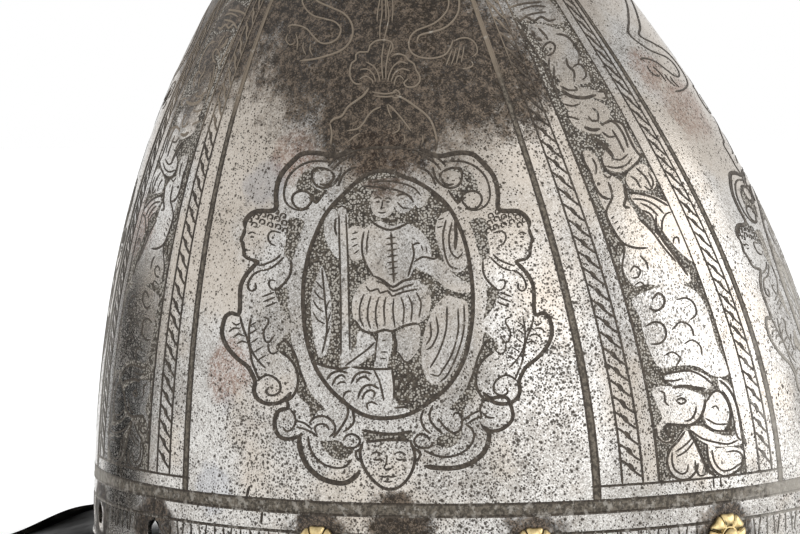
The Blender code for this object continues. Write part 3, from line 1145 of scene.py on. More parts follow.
cartouche = {  # left half; the right half is its mirror
    "strokes": [
        (4.6, [(352, 150), (336, 156), (317, 153), (302, 154), (292, 162), (283, 172), (278, 182), (276, 195),
               (276, 208), (270, 211), (258, 211), (250, 215), (245, 222), (245, 228)]),
        (3.2, [(245, 228), (244, 233), (241, 240), (243, 243), (243, 246), (244, 250), (244, 254), (247, 258),
               (253, 260), (259, 261)]),
        (4.0, [(259, 261), (252, 268), (246, 275), (241, 285), (240, 296), (240, 308), (238, 315), (232, 313),
               (226, 316), (223, 324), (222, 333), (225, 343), (231, 352), (239, 360), (247, 366), (252, 374),
               (255, 382), (254, 390), (256, 397), (262, 402), (270, 404), (278, 403), (285, 399),
               (291, 392)]),
        (2.0, [(333, 162), (320, 161), (309, 162), (298, 167), (289, 176), (285, 186), (284, 196), (287, 204),
               (294, 209), (302, 210), (309, 208)]),
        (2.2, [(308, 197), (312, 200), (309, 205), (303, 209), (296, 207), (292, 200), (294, 194), (300, 191),
               (307, 192), (312, 196), (316, 203), (326, 190)]),
        (2.4, [(331, 171), (334, 176), (331, 182), (326, 185), (320, 184)]),
        (2.4, [(341, 167), (340, 174), (337, 180), (332, 185), (324, 188), (317, 186), (313, 181), (312, 174),
               (315, 169), (322, 168), (331, 171)]),
        (2.2, [(352, 150), (343, 154), (335, 159), (328, 166)]),
        (2.2, [(356, 153), (347, 158), (339, 163), (333, 170)]),
        (2.2, [(357, 167), (350, 169), (343, 175), (338, 186)]),
        (1.8, [(259, 266), (268, 263), (276, 259), (281, 254)]),
        (1.8, [(262, 271), (271, 268), (279, 262), (284, 257)]),
        (2.0, [(262, 270), (254, 274), (249, 281), (248, 288), (252, 291), (256, 288), (255, 283)]),
        (2.2, [(291, 260), (291, 271), (287, 280), (280, 287), (276, 290)]),
        (1.8, [(276, 281), (270, 280), (269, 285), (273, 290), (281, 289)]),
        (2.2, [(257, 381), (262, 377), (268, 375), (275, 378), (280, 384), (280, 391), (275, 395), (269, 395),
               (266, 391), (269, 387)]),
        (2.0, [(240, 316), (243, 328), (247, 338), (250, 350), (252, 362), (256, 372), (259, 380)]),
        (1.8, [(229, 332), (234, 328), (240, 329)]),
        (1.8, [(233, 338), (238, 334), (244, 336)]),
        (1.8, [(237, 344), (242, 341), (247, 343)]),
        (1.6, [(232, 322), (236, 325), (240, 323)]),
        (1.8, [(251, 318), (249, 330), (250, 346), (256, 358), (265, 368)]),
        (1.5, [(250, 326), (256, 322)]),
        (1.5, [(250, 334), (257, 329)]),
        (1.5, [(251, 343), (258, 338)]),
        (1.5, [(254, 352), (262, 347)]),
        (1.5, [(258, 360), (266, 355)]),
        (1.8, [(263, 317), (268, 319), (268, 324), (264, 330), (264, 338), (268, 343), (274, 336)]),
        (1.8, [(268, 344), (269, 351), (273, 354), (278, 351)]),
        (1.8, [(262, 297), (274, 292)]),
        (1.8, [(263, 302), (275, 297)]),
        (1.8, [(265, 307), (277, 302)]),
        (2.6, [(280, 352), (288, 357), (295, 366), (298, 377), (297, 388), (292, 397), (285, 402)]),
        (2.2, [(306, 386), (300, 371), (296, 357), (290, 345), (283, 338)]),
        (1.7, [(281, 233), (272, 231), (268, 236), (270, 243), (276, 246)]),
        (1.5, [(248, 234), (252, 232), (256, 234)]),
        (2.0, [(250, 237), (254, 237)]),
        (1.5, [(245, 250), (249, 250)]),
    ],
    "curls": [(249, 220), (256, 217), (263, 215), (270, 217), (277, 219), (284, 223), (254, 225), (262, 222),
              (270, 225), (278, 227), (285, 231), (276, 212), (283, 216)],
    "ground": [
        [(296, 190), (298, 180), (304, 172), (314, 167), (323, 167), (331, 170), (320, 171), (313, 174),
         (311, 180), (314, 187), (320, 190), (326, 190), (316, 203), (306, 192), (299, 191)],
        [(289, 219), (304, 221), (300, 235), (296, 250), (292, 260), (287, 258), (284, 250), (286, 240)],
        [(275, 290), (287, 288), (287, 300), (289, 313), (291, 320), (284, 312), (279, 303)],
        [(289, 332), (278, 343), (276, 349), (286, 356), (293, 364), (297, 374), (298, 386), (297, 393),
         (302, 400), (308, 405), (310, 414), (312, 421), (318, 411), (325, 409), (313, 396), (306, 384),
         (301, 370), (296, 356), (292, 344)],
    ],
}

lowerCartouche = {  # below the oval the two sides differ
    "strokes": [
        (4.0, [(287, 401), (288, 408), (280, 410), (275, 418), (275, 428), (279, 436), (286, 439), (294, 438),
               (303, 434)]),
        (2.0, [(290, 409), (295, 416), (295, 424), (291, 430), (286, 431), (283, 427)]),
        (2.0, [(296, 421), (304, 423), (312, 429)]),
        (2.0, [(296, 427), (304, 429), (311, 432), (318, 437)]),
        (5.0, [(299, 436), (300, 448), (304, 460), (311, 470), (321, 478), (332, 482), (345, 483), (356, 476),
               (360, 470)]),
        (2.2, [(308, 436), (310, 448), (316, 458), (325, 465), (337, 468), (346, 466), (352, 459)]),
        (2.4, [(309, 423), (314, 418), (322, 416), (330, 419), (335, 426), (334, 433), (329, 437)]),
        (2.2, [(316, 433), (315, 427), (320, 424), (326, 425), (329, 430)]),
        (2.4, [(343, 398), (347, 405), (348, 414), (345, 421), (340, 429), (333, 438)]),
        (2.4, [(352, 408), (354, 421), (349, 428), (343, 432)]),
        (2.4, [(343, 441), (346, 436), (352, 434), (358, 437), (360, 442), (356, 447), (350, 448), (344, 447),
               (340, 442)]),
        (4.0, [(291, 392), (285, 402)]),
        (3.8, [(483, 392), (490, 398), (499, 397), (507, 398), (511, 406), (513, 416), (510, 423), (502, 429),
               (494, 431), (486, 430), (481, 424)]),
        (2.2, [(482, 418), (480, 408), (484, 401), (491, 399)]),
        (2.2, [(482, 412), (487, 417), (495, 418)]),
        (2.2, [(481, 410), (472, 414), (465, 419), (460, 422)]),
        (2.2, [(483, 416), (475, 419), (467, 424)]),
        (5.0, [(484, 426), (489, 433), (488, 443), (484, 452), (477, 459), (467, 465), (454, 468), (438, 468),
               (424, 466)]),
        (2.2, [(453, 417), (455, 413), (460, 414), (462, 420), (461, 428), (456, 433), (449, 431), (443, 425),
               (438, 418)]),
        (2.4, [(465, 424), (471, 428), (474, 435), (472, 443), (466, 450), (457, 455), (446, 457), (434, 455),
               (424, 450)]),
        (2.4, [(433, 405), (430, 412), (430, 420), (436, 428), (443, 434)]),
        (2.4, [(424, 409), (421, 418), (424, 428), (431, 434)]),
        (2.4, [(430, 441), (427, 436), (421, 434), (416, 437), (414, 442), (418, 447), (424, 448), (430, 447),
               (434, 442)]),
        (3.0, [(362, 430), (378, 433), (395, 434), (412, 431)]),
        (3.0, [(366, 442), (384, 440), (400, 440), (410, 441)]),
        (3.0, [(363, 442), (360, 452), (362, 463), (368, 474), (376, 483), (386, 489), (397, 488), (406, 481),
               (412, 471), (415, 459), (413, 448), (410, 441)]),
        (1.8, [(371, 455), (376, 452), (382, 454)]),
        (1.8, [(394, 454), (400, 452), (406, 455)]),
        (2.2, [(373, 459), (377, 460), (381, 459)]),
        (2.2, [(396, 459), (400, 460), (404, 459)]),
        (1.8, [(387, 455), (386, 464), (384, 468), (388, 470), (392, 468)]),
        (2.0, [(379, 476), (385, 477), (388, 476), (391, 477), (397, 476)]),
        (1.6, [(383, 481), (388, 482), (393, 481)]),
        (2.6, [(363, 448), (356, 452), (357, 458), (361, 462)]),
        (2.6, [(413, 448), (420, 452), (419, 458), (415, 462)]),
    ],
    "ground": [
        [(320, 441), (325, 450), (332, 457), (341, 460), (348, 457), (354, 450), (344, 447), (337, 440),
         (328, 441)],
        [(364, 430), (380, 433), (396, 434), (412, 431), (409, 440), (384, 440), (366, 441)],
        [(462, 430), (460, 438), (455, 445), (447, 448), (437, 446), (434, 442), (440, 436), (450, 433)],
    ],
}

crest = {  # over the oval: vase, palmette, tassels and ribbons
    "strokes": [
        (3.0, [(369, 88), (364, 95), (356, 101), (348, 107), (342, 116), (334, 119), (330, 123)]),
        (2.6, [(330, 123), (332, 134), (331, 144), (334, 152), (337, 157)]),
        (3.0, [(396, 95), (406, 100), (416, 107), (424, 113), (431, 121), (435, 132), (437, 143),
               (435, 151)]),
        (2.4, [(381, 107), (374, 110), (368, 116), (363, 124), (357, 129), (347, 131)]),
        (2.4, [(388, 104), (395, 111), (402, 119), (411, 131)]),
        (2.0, [(387, 104), (389, 112), (392, 118)]),
        (2.2, [(368, 147), (385, 147), (403, 147)]),
        (2.0, [(399, 122), (399, 130), (392, 134)]),
        (2.0, [(404, 134), (405, 141), (402, 147)]),
        (2.0, [(422, 135), (423, 141), (420, 148)]),
        (2.0, [(360, 133), (354, 137), (348, 142)]),
        (2.2, [(372, 92), (385, 94), (397, 92)]),
        (2.2, [(374, 96), (385, 97), (394, 96)]),
        (2.6, [(392, 94), (396, 90), (400, 94), (397, 98), (392, 97)]),
        (2.4, [(341, 157), (352, 152), (364, 149), (385, 148), (408, 149), (420, 152), (431, 157),
               (434, 161)]),
        (2.2, [(379, 160), (382, 153), (388, 158)]),
        (2.4, [(362, 84), (356, 84), (351, 79), (350, 70), (352, 63), (356, 60), (356, 55), (360, 52),
               (368, 52), (370, 46), (376, 41), (384, 40), (391, 42), (393, 48), (390, 54)]),
        (2.4, [(392, 56), (398, 54), (405, 56), (408, 60), (414, 64), (416, 70), (420, 77), (419, 83),
               (414, 87), (407, 87), (404, 83), (408, 79)]),
        (2.0, [(384, 43), (382, 56), (382, 68), (383, 80)]),
        (2.0, [(391, 44), (388, 56), (386, 68), (386, 80)]),
        (2.0, [(366, 62), (373, 66), (378, 73), (380, 82)]),
        (2.0, [(360, 70), (367, 69), (373, 74), (376, 82)]),
        (2.0, [(360, 79), (366, 76), (372, 80), (373, 84)]),
        (2.0, [(408, 64), (400, 62), (393, 67), (389, 76), (388, 82)]),
        (2.0, [(410, 71), (402, 69), (395, 73), (391, 82)]),
        (2.0, [(404, 80), (400, 76), (396, 78), (394, 86)]),
        (1.8, [(377, 22), (378, 10), (380, -2), (380, -20), (383, -40)]),
        (1.8, [(380, 40), (380, 28), (382, 14), (382, 0), (382, -20)]),
        (1.8, [(384, 40), (387, 28), (389, 16), (387, 0), (385, -20)]),
        (1.8, [(392, 22), (393, 10), (392, -2), (388, -20), (386, -40)]),
        (2.0, [(386, 20), (386, 8), (385, -6)]),
        (2.8, [(384, -46), (380, -52), (384, -58), (389, -52), (385, -46)]),
        (2.8, [(383, -58), (368, -50), (348, -30), (330, -12), (316, -1), (330, 7), (343, 13), (351, 22),
               (353, 32), (350, 42), (342, 50), (330, 55), (315, 59), (300, 61)]),
        (2.4, [(380, -64), (358, -54), (338, -34), (318, -16), (303, -2), (306, 9), (314, 16), (325, 19),
               (335, 22), (341, 29), (338, 38), (330, 43), (321, 43), (314, 37), (307, 29), (300, 26),
               (292, 25), (288, 27)]),
        (2.4, [(386, -58), (400, -46), (420, -28), (440, -14), (448, -2), (448, 8), (443, 16), (435, 23),
               (426, 27), (416, 31), (410, 38), (409, 47), (413, 54), (423, 58), (436, 58), (446, 54),
               (451, 46), (453, 40)]),
        (2.8, [(390, -64), (406, -54), (428, -36), (448, -20), (458, -4), (459, 8), (456, 17), (449, 25),
               (440, 30), (428, 33), (419, 36), (417, 42)]),
        (1.8, [(311, 44), (310, 50), (313, 56)]),
        (1.8, [(304, 42), (303, 48), (306, 55)]),
        (1.8, [(296, 34), (298, 42), (297, 50)]),
        (1.8, [(288, 34), (286, 40), (290, 45), (295, 43)]),
        (1.8, [(452, 50), (449, 58), (446, 66)]),
        (1.8, [(456, 48), (454, 57), (451, 65)]),
        (1.8, [(460, 47), (458, 56), (456, 64)]),
        (1.8, [(464, 46), (463, 54), (461, 62)]),
        (2.0, [(454, 41), (462, 38), (470, 39), (476, 45), (477, 53), (472, 57)]),
        (2.0, [(471, 61), (473, 65), (469, 68), (462, 69)]),
    ],
    "ground": [],
}

soldier = {
    "figures": [
        [(361, 184), (372, 180), (392, 178), (410, 180), (424, 186), (429, 195), (425, 204), (418, 208),
         (412, 199), (400, 193), (386, 190), (370, 189)],
        [(372, 194), (380, 190), (390, 191), (394, 198), (394, 208), (390, 215), (383, 218), (375, 215),
         (371, 207)],
        [(392, 194), (402, 190), (414, 192), (417, 200), (413, 208), (404, 213), (396, 210)],
        [(362, 232), (370, 225), (380, 221), (392, 226), (404, 223), (418, 229), (427, 239), (431, 250),
         (430, 260), (420, 264), (413, 270), (410, 277), (400, 282), (393, 286), (384, 281), (374, 277),
         (366, 266), (362, 254), (361, 242)],
        [(348, 230), (356, 226), (364, 229), (368, 238), (367, 250), (362, 259), (352, 260), (348, 250),
         (346, 240)],
        [(414, 262), (424, 257), (436, 258), (446, 266), (456, 276), (470, 285), (470, 292), (456, 292),
         (444, 286), (432, 276), (420, 270)],
        [(362, 284), (374, 276), (386, 281), (394, 288), (404, 281), (416, 280), (427, 287), (431, 300),
         (428, 315), (419, 323), (406, 326), (396, 331), (386, 329), (374, 332), (361, 329), (354, 319),
         (352, 305), (355, 293)],
        [(358, 332), (366, 333), (375, 340), (376, 350), (366, 360), (354, 367), (344, 369), (340, 364),
         (348, 356), (356, 346)],
        [(378, 332), (390, 331), (392, 346), (388, 362), (386, 378), (386, 392), (390, 400), (380, 403),
         (376, 392), (374, 372), (376, 350)],
        [(398, 332), (418, 325), (420, 340), (416, 353), (406, 362), (400, 358), (397, 346)],
        [(338, 210), (347, 210), (349, 262), (350, 320), (351, 354), (344, 366), (340, 358), (341, 300),
         (340, 250)],
        [(326, 214), (334, 209), (338, 216), (338, 240), (339, 258), (332, 252), (326, 240), (324, 226)],
        [(446, 296), (456, 298), (467, 303), (468, 326), (463, 350), (454, 370), (441, 384), (428, 381),
         (422, 364), (422, 344), (427, 324), (434, 308)],
        [(436, 224), (442, 214), (452, 212), (459, 226), (464, 246), (467, 264), (460, 272), (448, 269),
         (441, 252), (436, 238)],
        [(311, 362), (322, 366), (340, 369), (352, 368), (372, 369), (392, 370), (396, 402), (410, 411),
         (396, 416), (380, 417), (364, 413), (352, 407), (340, 397), (326, 383)],
        [(311, 300), (316, 280), (322, 266), (327, 280), (331, 300), (331, 330), (327, 352), (320, 357),
         (314, 340)],
    ],
    "strokes": [
        (1.8, [(374, 199), (378, 197), (382, 199)]),
        (1.8, [(385, 199), (388, 198), (391, 199)]),
        (2.2, [(376, 202), (380, 202)]),
        (2.2, [(386, 202), (390, 202)]),
        (1.6, [(383, 200), (382, 206), (381, 208), (385, 208)]),
        (1.8, [(378, 212), (382, 213), (386, 212)]),
        (2.0, [(362, 186), (376, 187), (392, 189), (406, 194), (414, 202)]),
        (1.8, [(370, 183), (384, 181), (400, 183), (414, 188), (421, 196)]),
        (1.8, [(396, 196), (404, 194), (411, 197), (413, 203)]),
        (1.8, [(397, 202), (403, 208), (409, 208)]),
        (2.4, [(372, 222), (380, 227), (390, 230), (400, 227), (408, 223)]),
        (2.2, [(382, 219), (390, 222), (399, 218)]),
        (2.4, [(391, 232), (392, 248), (393, 264), (394, 283)]),
        (1.9, [(386, 239), (396, 237)]),
        (1.9, [(386, 245), (397, 243)]),
        (1.9, [(387, 251), (397, 249)]),
        (1.9, [(387, 257), (398, 255)]),
        (1.9, [(387, 263), (398, 261)]),
        (1.9, [(388, 269), (398, 267)]),
        (1.9, [(389, 275), (398, 273)]),
        (2.2, [(364, 232), (362, 244), (363, 256), (368, 268), (374, 277)]),
        (1.8, [(369, 230), (367, 242), (367, 254)]),
        (2.2, [(412, 243), (414, 254), (411, 266), (408, 277)]),
        (2.0, [(412, 246), (417, 243), (420, 244)]),
        (2.2, [(414, 262), (423, 257), (434, 259), (438, 256)]),
        (1.8, [(421, 245), (423, 251)]),
        (1.8, [(426, 246), (427, 253)]),
        (1.8, [(352, 234), (358, 232)]),
        (1.8, [(351, 240), (357, 238)]),
        (1.8, [(352, 247), (358, 244)]),
        (1.8, [(354, 254), (359, 250)]),
        (2.6, [(374, 276), (384, 281), (393, 287), (403, 281), (413, 279)]),
        (2.2, [(376, 281), (385, 284), (393, 291), (404, 287), (414, 284)]),
        (2.0, [(366, 286), (370, 291), (378, 289), (380, 293), (388, 291), (392, 296), (400, 293), (408, 291),
               (418, 289)]),
        (2.6, [(355, 320), (362, 330), (373, 333), (384, 330), (393, 331), (404, 326), (417, 323)]),
        (1.9, [(364, 294), (360, 306), (360, 318), (364, 327)]),
        (1.9, [(371, 296), (368, 308), (368, 320), (371, 329)]),
        (1.9, [(379, 297), (376, 308), (376, 320), (378, 329)]),
        (1.9, [(386, 297), (384, 308), (385, 326)]),
        (1.9, [(394, 299), (393, 310), (395, 328)]),
        (1.9, [(401, 297), (404, 308), (403, 325)]),
        (1.9, [(408, 295), (412, 306), (411, 322)]),
        (1.9, [(416, 292), (421, 303), (419, 318)]),
        (2.0, [(345, 366), (356, 358), (368, 349), (375, 342)]),
        (2.0, [(378, 333), (376, 348), (375, 362)]),
        (1.8, [(382, 341), (386, 340)]),
        (1.8, [(381, 352), (388, 352)]),
        (1.8, [(380, 358), (387, 359)]),
        (3.4, [(394, 334), (396, 345), (394, 355)]),
        (2.2, [(374, 370), (380, 383), (384, 401)]),
        (2.4, [(392, 368), (394, 385), (394, 400)]),
        (2.2, [(398, 352), (404, 361), (411, 364)]),
        (1.9, [(339, 214), (340, 260), (341, 310), (341, 356)]),
        (1.9, [(346, 214), (348, 260), (349, 310), (350, 350)]),
        (2.4, [(336, 218), (335, 228), (337, 236)]),
        (1.8, [(338, 208), (342, 206), (347, 209), (347, 214)]),
        (2.0, [(447, 306), (446, 330), (439, 352), (430, 368)]),
        (2.0, [(458, 308), (458, 332), (451, 356), (440, 374)]),
        (2.0, [(464, 304), (464, 328), (458, 352), (448, 374), (440, 382)]),
        (2.0, [(436, 316), (438, 332), (432, 346), (426, 350)]),
        (2.0, [(430, 322), (431, 336), (426, 345)]),
        (1.8, [(430, 374), (438, 376), (442, 372)]),
        (2.2, [(446, 220), (443, 236), (445, 254), (450, 266), (458, 269)]),
        (2.0, [(452, 222), (449, 238), (451, 252), (458, 258), (463, 252)]),
        (3.6, [(455, 222), (456, 236), (455, 250)]),
        (1.8, [(438, 220), (444, 218)]),
        (1.8, [(437, 228), (443, 226)]),
        (2.0, [(322, 268), (325, 300), (327, 330), (322, 354)]),
        (1.7, [(313, 312), (318, 320), (325, 324)]),
        (1.7, [(313, 300), (318, 308), (324, 312)]),
        (1.7, [(314, 290), (319, 297), (324, 300)]),
        (1.7, [(316, 281), (320, 286), (323, 289)]),
        (1.7, [(330, 300), (327, 306), (326, 312)]),
        (1.7, [(331, 312), (329, 318), (327, 324)]),
        (1.7, [(330, 326), (328, 332), (326, 336)]),
        (2.6, [(327, 380), (331, 374), (339, 371), (348, 373)]),
        (2.4, [(332, 386), (336, 378), (342, 375), (346, 379)]),
        (2.2, [(337, 385), (341, 382), (346, 383)]),
        (2.6, [(351, 384), (356, 375), (364, 372), (372, 374)]),
        (2.4, [(356, 383), (360, 378), (366, 377), (370, 381)]),
        (2.6, [(358, 399), (360, 392), (365, 386), (372, 385), (379, 389)]),
        (2.4, [(362, 400), (365, 393), (371, 390), (375, 393), (373, 398)]),
        (2.4, [(404, 394), (406, 386), (412, 380), (421, 379)]),
        (2.4, [(408, 396), (412, 389), (419, 386), (426, 389)]),
        (2.4, [(397, 392), (399, 384), (404, 376), (412, 372)]),
        (2.4, [(396, 400), (404, 402), (414, 402)]),
        (2.2, [(394, 408), (404, 407), (412, 405)]),
        (2.2, [(368, 410), (367, 404), (372, 402), (378, 405)]),
        (2.2, [(343, 398), (346, 392), (352, 391)]),
        (2.6, [(312, 361), (324, 366), (340, 369), (350, 367)]),
        (2.6, [(352, 367), (370, 369), (392, 369)]),
    ],
}

bandDrawing = {
    "figures": [
        [(652, 389), (664, 386), (680, 388), (692, 391), (704, 397), (705, 408), (701, 418), (693, 424),
         (680, 424), (667, 424), (660, 430), (661, 439), (668, 441), (673, 436), (668, 444), (658, 440),
         (656, 428), (662, 418), (658, 408), (654, 398)],
        [(685, 430), (693, 438), (697, 448), (703, 462), (700, 476), (690, 482), (678, 480), (669, 473),
         (666, 461), (670, 448), (677, 440)],
        [(707, 443), (716, 448), (730, 447), (742, 450), (745, 458), (741, 467), (733, 474), (722, 476),
         (712, 470), (707, 458)],
        [(706, 398), (716, 390), (724, 394), (729, 406), (728, 420), (723, 430), (712, 430), (705, 420),
         (703, 408)],
        [(690, 428), (700, 426), (712, 432), (726, 436), (738, 436), (742, 443), (730, 446), (714, 446),
         (700, 440)],
        [(718, 378), (728, 384), (736, 396), (740, 412), (743, 428), (742, 440), (736, 438), (733, 424),
         (728, 404), (720, 390)],
        [(664, 378), (674, 372), (690, 370), (704, 374), (712, 382), (706, 390), (692, 388), (676, 386)],
        [(632, 300), (650, 290), (670, 284), (690, 288), (702, 300), (710, 320), (716, 342), (724, 360),
         (728, 374), (714, 376), (696, 366), (676, 366), (660, 368), (652, 356), (644, 336), (640, 318)],
        [(583, 152), (592, 152), (599, 162), (602, 172), (612, 176), (622, 184), (624, 196), (630, 204),
         (642, 222), (658, 236), (672, 254), (690, 276), (684, 284), (664, 276), (642, 268), (630, 262),
         (624, 246), (614, 230), (606, 212), (600, 200), (594, 184), (588, 168)],
        [(603, 156), (611, 146), (626, 142), (640, 150), (636, 162), (626, 170), (614, 172), (605, 166)],
        [(600, 128), (608, 122), (620, 124), (630, 134), (636, 150), (626, 148), (612, 146), (604, 138)],
        [(626, 176), (640, 164), (650, 170), (656, 182), (652, 190), (640, 190), (630, 188)],
        [(630, 196), (646, 194), (660, 199), (670, 206), (680, 224), (690, 246), (694, 262), (680, 252),
         (668, 238), (656, 222), (642, 210)],
        [(620, 256), (634, 250), (654, 256), (672, 270), (684, 286), (668, 288), (648, 284), (634, 286),
         (624, 272)],
        [(556, 86), (566, 80), (578, 86), (592, 90), (604, 92), (606, 100), (594, 98), (578, 96), (564, 92)],
        [(562, 96), (580, 98), (600, 102), (610, 112), (606, 122), (596, 120), (580, 116), (566, 108)],
        [(568, 112), (584, 118), (600, 124), (600, 134), (586, 132), (574, 126)],
        [(546, 56), (554, 48), (566, 44), (576, 50), (580, 60), (586, 70), (590, 82), (576, 84), (562, 82),
         (554, 74), (548, 66)],
        [(528, 26), (540, 24), (554, 28), (566, 34), (574, 44), (566, 46), (552, 48), (544, 46), (534, 38)],
        [(508, 2), (522, -4), (540, -8), (554, 6), (564, 20), (556, 24), (540, 22), (522, 20), (512, 10)],
        [(500, -30), (512, -36), (524, -30), (534, -16), (528, -8), (512, -8), (502, -18)],
        [(492, -62), (502, -68), (512, -60), (520, -46), (514, -38), (502, -40), (494, -50)],
    ],
    "strokes": [
        (2.0, [(659, 391), (664, 393), (665, 402), (669, 406)]),
        (2.4, [(676, 401), (681, 398), (686, 401), (681, 404), (676, 401)]),
        (1.6, [(676, 397), (682, 395)]),
        (3.0, [(665, 424), (678, 425), (690, 425), (699, 419), (704, 408), (705, 399)]),
        (2.2, [(684, 421), (690, 420), (695, 413), (696, 406)]),
        (2.4, [(671, 437), (667, 434), (664, 429), (668, 425), (676, 425)]),
        (2.2, [(656, 428), (657, 436), (663, 442), (670, 442), (674, 435)]),
        (2.4, [(685, 431), (678, 441), (670, 450), (667, 461), (670, 472), (678, 479), (688, 479), (696, 471),
               (698, 463)]),
        (1.9, [(675, 452), (684, 446), (692, 438)]),
        (1.9, [(676, 457), (686, 451), (694, 441)]),
        (2.0, [(672, 452), (672, 462), (675, 470), (682, 474), (687, 471), (688, 464)]),
        (2.0, [(695, 460), (696, 470), (700, 476), (706, 474)]),
        (3.0, [(688, 430), (696, 444), (702, 458), (708, 470), (716, 476)]),
        (2.4, [(707, 444), (708, 458), (713, 469), (722, 476), (732, 474), (741, 467), (744, 460)]),
        (2.0, [(712, 450), (714, 461), (721, 470), (730, 470), (738, 465), (742, 462), (742, 455), (736, 451),
               (726, 452)]),
        (2.2, [(690, 430), (701, 438), (714, 442), (728, 444), (738, 440)]),
        (2.0, [(704, 424), (714, 430), (726, 431), (734, 430)]),
        (2.0, [(705, 418), (716, 424), (728, 424)]),
        (2.4, [(706, 402), (712, 393), (719, 391), (726, 399), (730, 410), (730, 422), (727, 431)]),
        (1.8, [(711, 408), (716, 406), (719, 411)]),
        (2.4, [(719, 380), (728, 388), (735, 401), (739, 416), (742, 432), (746, 446)]),
        (1.9, [(722, 390), (729, 402), (733, 418), (736, 434), (741, 441)]),
        (3.2, [(672, 388), (684, 386), (697, 388), (706, 389)]),
        (2.2, [(656, 370), (664, 374), (676, 372), (690, 371), (702, 376), (712, 384)]),
        (2.0, [(662, 380), (672, 381), (682, 379)]),
        (2.6, [(652, 300), (658, 293), (664, 298), (663, 306), (656, 311), (649, 308)]),
        (1.8, [(634, 286), (640, 282), (644, 286), (640, 291)]),
        (2.0, [(630, 272), (634, 266), (640, 270), (638, 277), (631, 278)]),
        (2.2, [(650, 344), (658, 344), (664, 340), (666, 332), (662, 324), (654, 322), (646, 326)]),
        (2.0, [(672, 330), (680, 322), (690, 326), (694, 336)]),
        (2.0, [(676, 300), (686, 298), (694, 304), (696, 314), (690, 320)]),
        (1.8, [(684, 344), (692, 340), (700, 346), (702, 356)]),
        (1.8, [(664, 356), (672, 352), (680, 358), (676, 366)]),
        (2.4, [(581, 152), (584, 162), (590, 172), (593, 182), (598, 192), (604, 198), (611, 199)]),
        (2.0, [(592, 158), (596, 166), (596, 174)]),
        (3.6, [(597, 183), (600, 185)]),
        (2.4, [(608, 182), (611, 190), (612, 198), (608, 206), (606, 214), (610, 224), (617, 236), (624, 244),
               (636, 248), (648, 248)]),
        (2.0, [(602, 196), (607, 198)]),
        (1.8, [(603, 174), (608, 178), (612, 175)]),
        (1.8, [(611, 219), (614, 216)]),
        (1.8, [(614, 224), (618, 221)]),
        (1.8, [(617, 230), (620, 226)]),
        (1.8, [(621, 235), (623, 231)]),
        (3.0, [(624, 184), (626, 196), (624, 206), (630, 208)]),
        (2.4, [(601, 158), (604, 168), (612, 174), (622, 174), (632, 167), (641, 158)]),
        (2.0, [(605, 166), (616, 168), (626, 165), (632, 158)]),
        (2.0, [(611, 158), (620, 160), (628, 154)]),
        (2.2, [(604, 124), (612, 121), (622, 124), (628, 136), (634, 148), (642, 158)]),
        (2.2, [(612, 130), (618, 140), (624, 152)]),
        (2.0, [(602, 132), (609, 137), (616, 136)]),
        (4.0, [(594, 138), (604, 146), (614, 158)]),
        (2.0, [(630, 176), (636, 180), (640, 188)]),
        (2.0, [(636, 168), (646, 178), (651, 188)]),
        (2.0, [(644, 186), (650, 190), (653, 182), (648, 172)]),
        (2.2, [(628, 192), (640, 194), (654, 198), (668, 206)]),
        (1.9, [(632, 199), (644, 200), (656, 206), (664, 214)]),
        (1.9, [(640, 203), (650, 208), (658, 216)]),
        (1.9, [(642, 210), (650, 214), (654, 220)]),
        (2.6, [(656, 216), (656, 228), (664, 242), (676, 258), (688, 276)]),
        (2.0, [(662, 232), (662, 222), (666, 214), (672, 212)]),
        (2.0, [(673, 244), (674, 238), (678, 238), (679, 244)]),
        (2.0, [(638, 218), (652, 232), (664, 248), (676, 262)]),
        (2.0, [(640, 256), (646, 262), (648, 270)]),
        (2.0, [(616, 256), (617, 246), (622, 242), (624, 252), (622, 268), (626, 284)]),
        (2.0, [(543, 60), (546, 72), (552, 84), (558, 98)]),
        (1.9, [(549, 58), (549, 70), (554, 84)]),
        (1.9, [(554, 66), (554, 76), (558, 86)]),
        (2.2, [(566, 58), (568, 66), (574, 72), (574, 82)]),
        (2.0, [(572, 68), (578, 64), (584, 68), (586, 76), (582, 80)]),
        (2.0, [(560, 86), (568, 90), (577, 90), (574, 86)]),
        (3.4, [(562, 90), (570, 96), (584, 98), (596, 95)]),
        (2.0, [(596, 92), (604, 92), (606, 98), (602, 98)]),
        (1.9, [(563, 104), (572, 106), (580, 104)]),
        (1.9, [(564, 116), (574, 118), (579, 120)]),
        (2.0, [(588, 116), (592, 121), (598, 120), (597, 112), (592, 108)]),
        (3.4, [(584, 127), (592, 130), (600, 129)]),
        (2.2, [(602, 126), (608, 121), (616, 124), (624, 136), (628, 148)]),
        (2.4, [(522, 30), (527, 40), (534, 50), (540, 60)]),
        (3.8, [(532, 31), (535, 37), (542, 41)]),
        (2.2, [(542, 52), (544, 46), (550, 42), (555, 46), (553, 53), (547, 56)]),
        (2.2, [(538, 28), (544, 34), (548, 40)]),
        (2.2, [(556, 34), (566, 36), (574, 44), (579, 54), (578, 64)]),
        (2.2, [(508, 8), (522, 4), (542, 2)]),
        (1.8, [(520, 10), (534, 6), (546, 7)]),
        (2.4, [(519, 22), (526, 17), (534, 21), (541, 17), (549, 21), (556, 19)]),
        (2.0, [(524, 17), (532, 14), (546, 12)]),
        (2.0, [(504, -8), (514, -14), (524, -12)]),
        (2.0, [(500, -22), (510, -28), (522, -24)]),
        (2.0, [(498, -40), (506, -46), (514, -42)]),
        (2.0, [(492, -58), (500, -62), (508, -56)]),
    ],
}


baseScratch = [  # on the right side alone
    (2.4, [(249.5, 486), (248, 491), (246.5, 497.5)]),
    (1.8, [(252, 499), (258, 501), (262, 504)]),
    (2.0, [(262, 503), (262, 512), (261, 524)]),
]

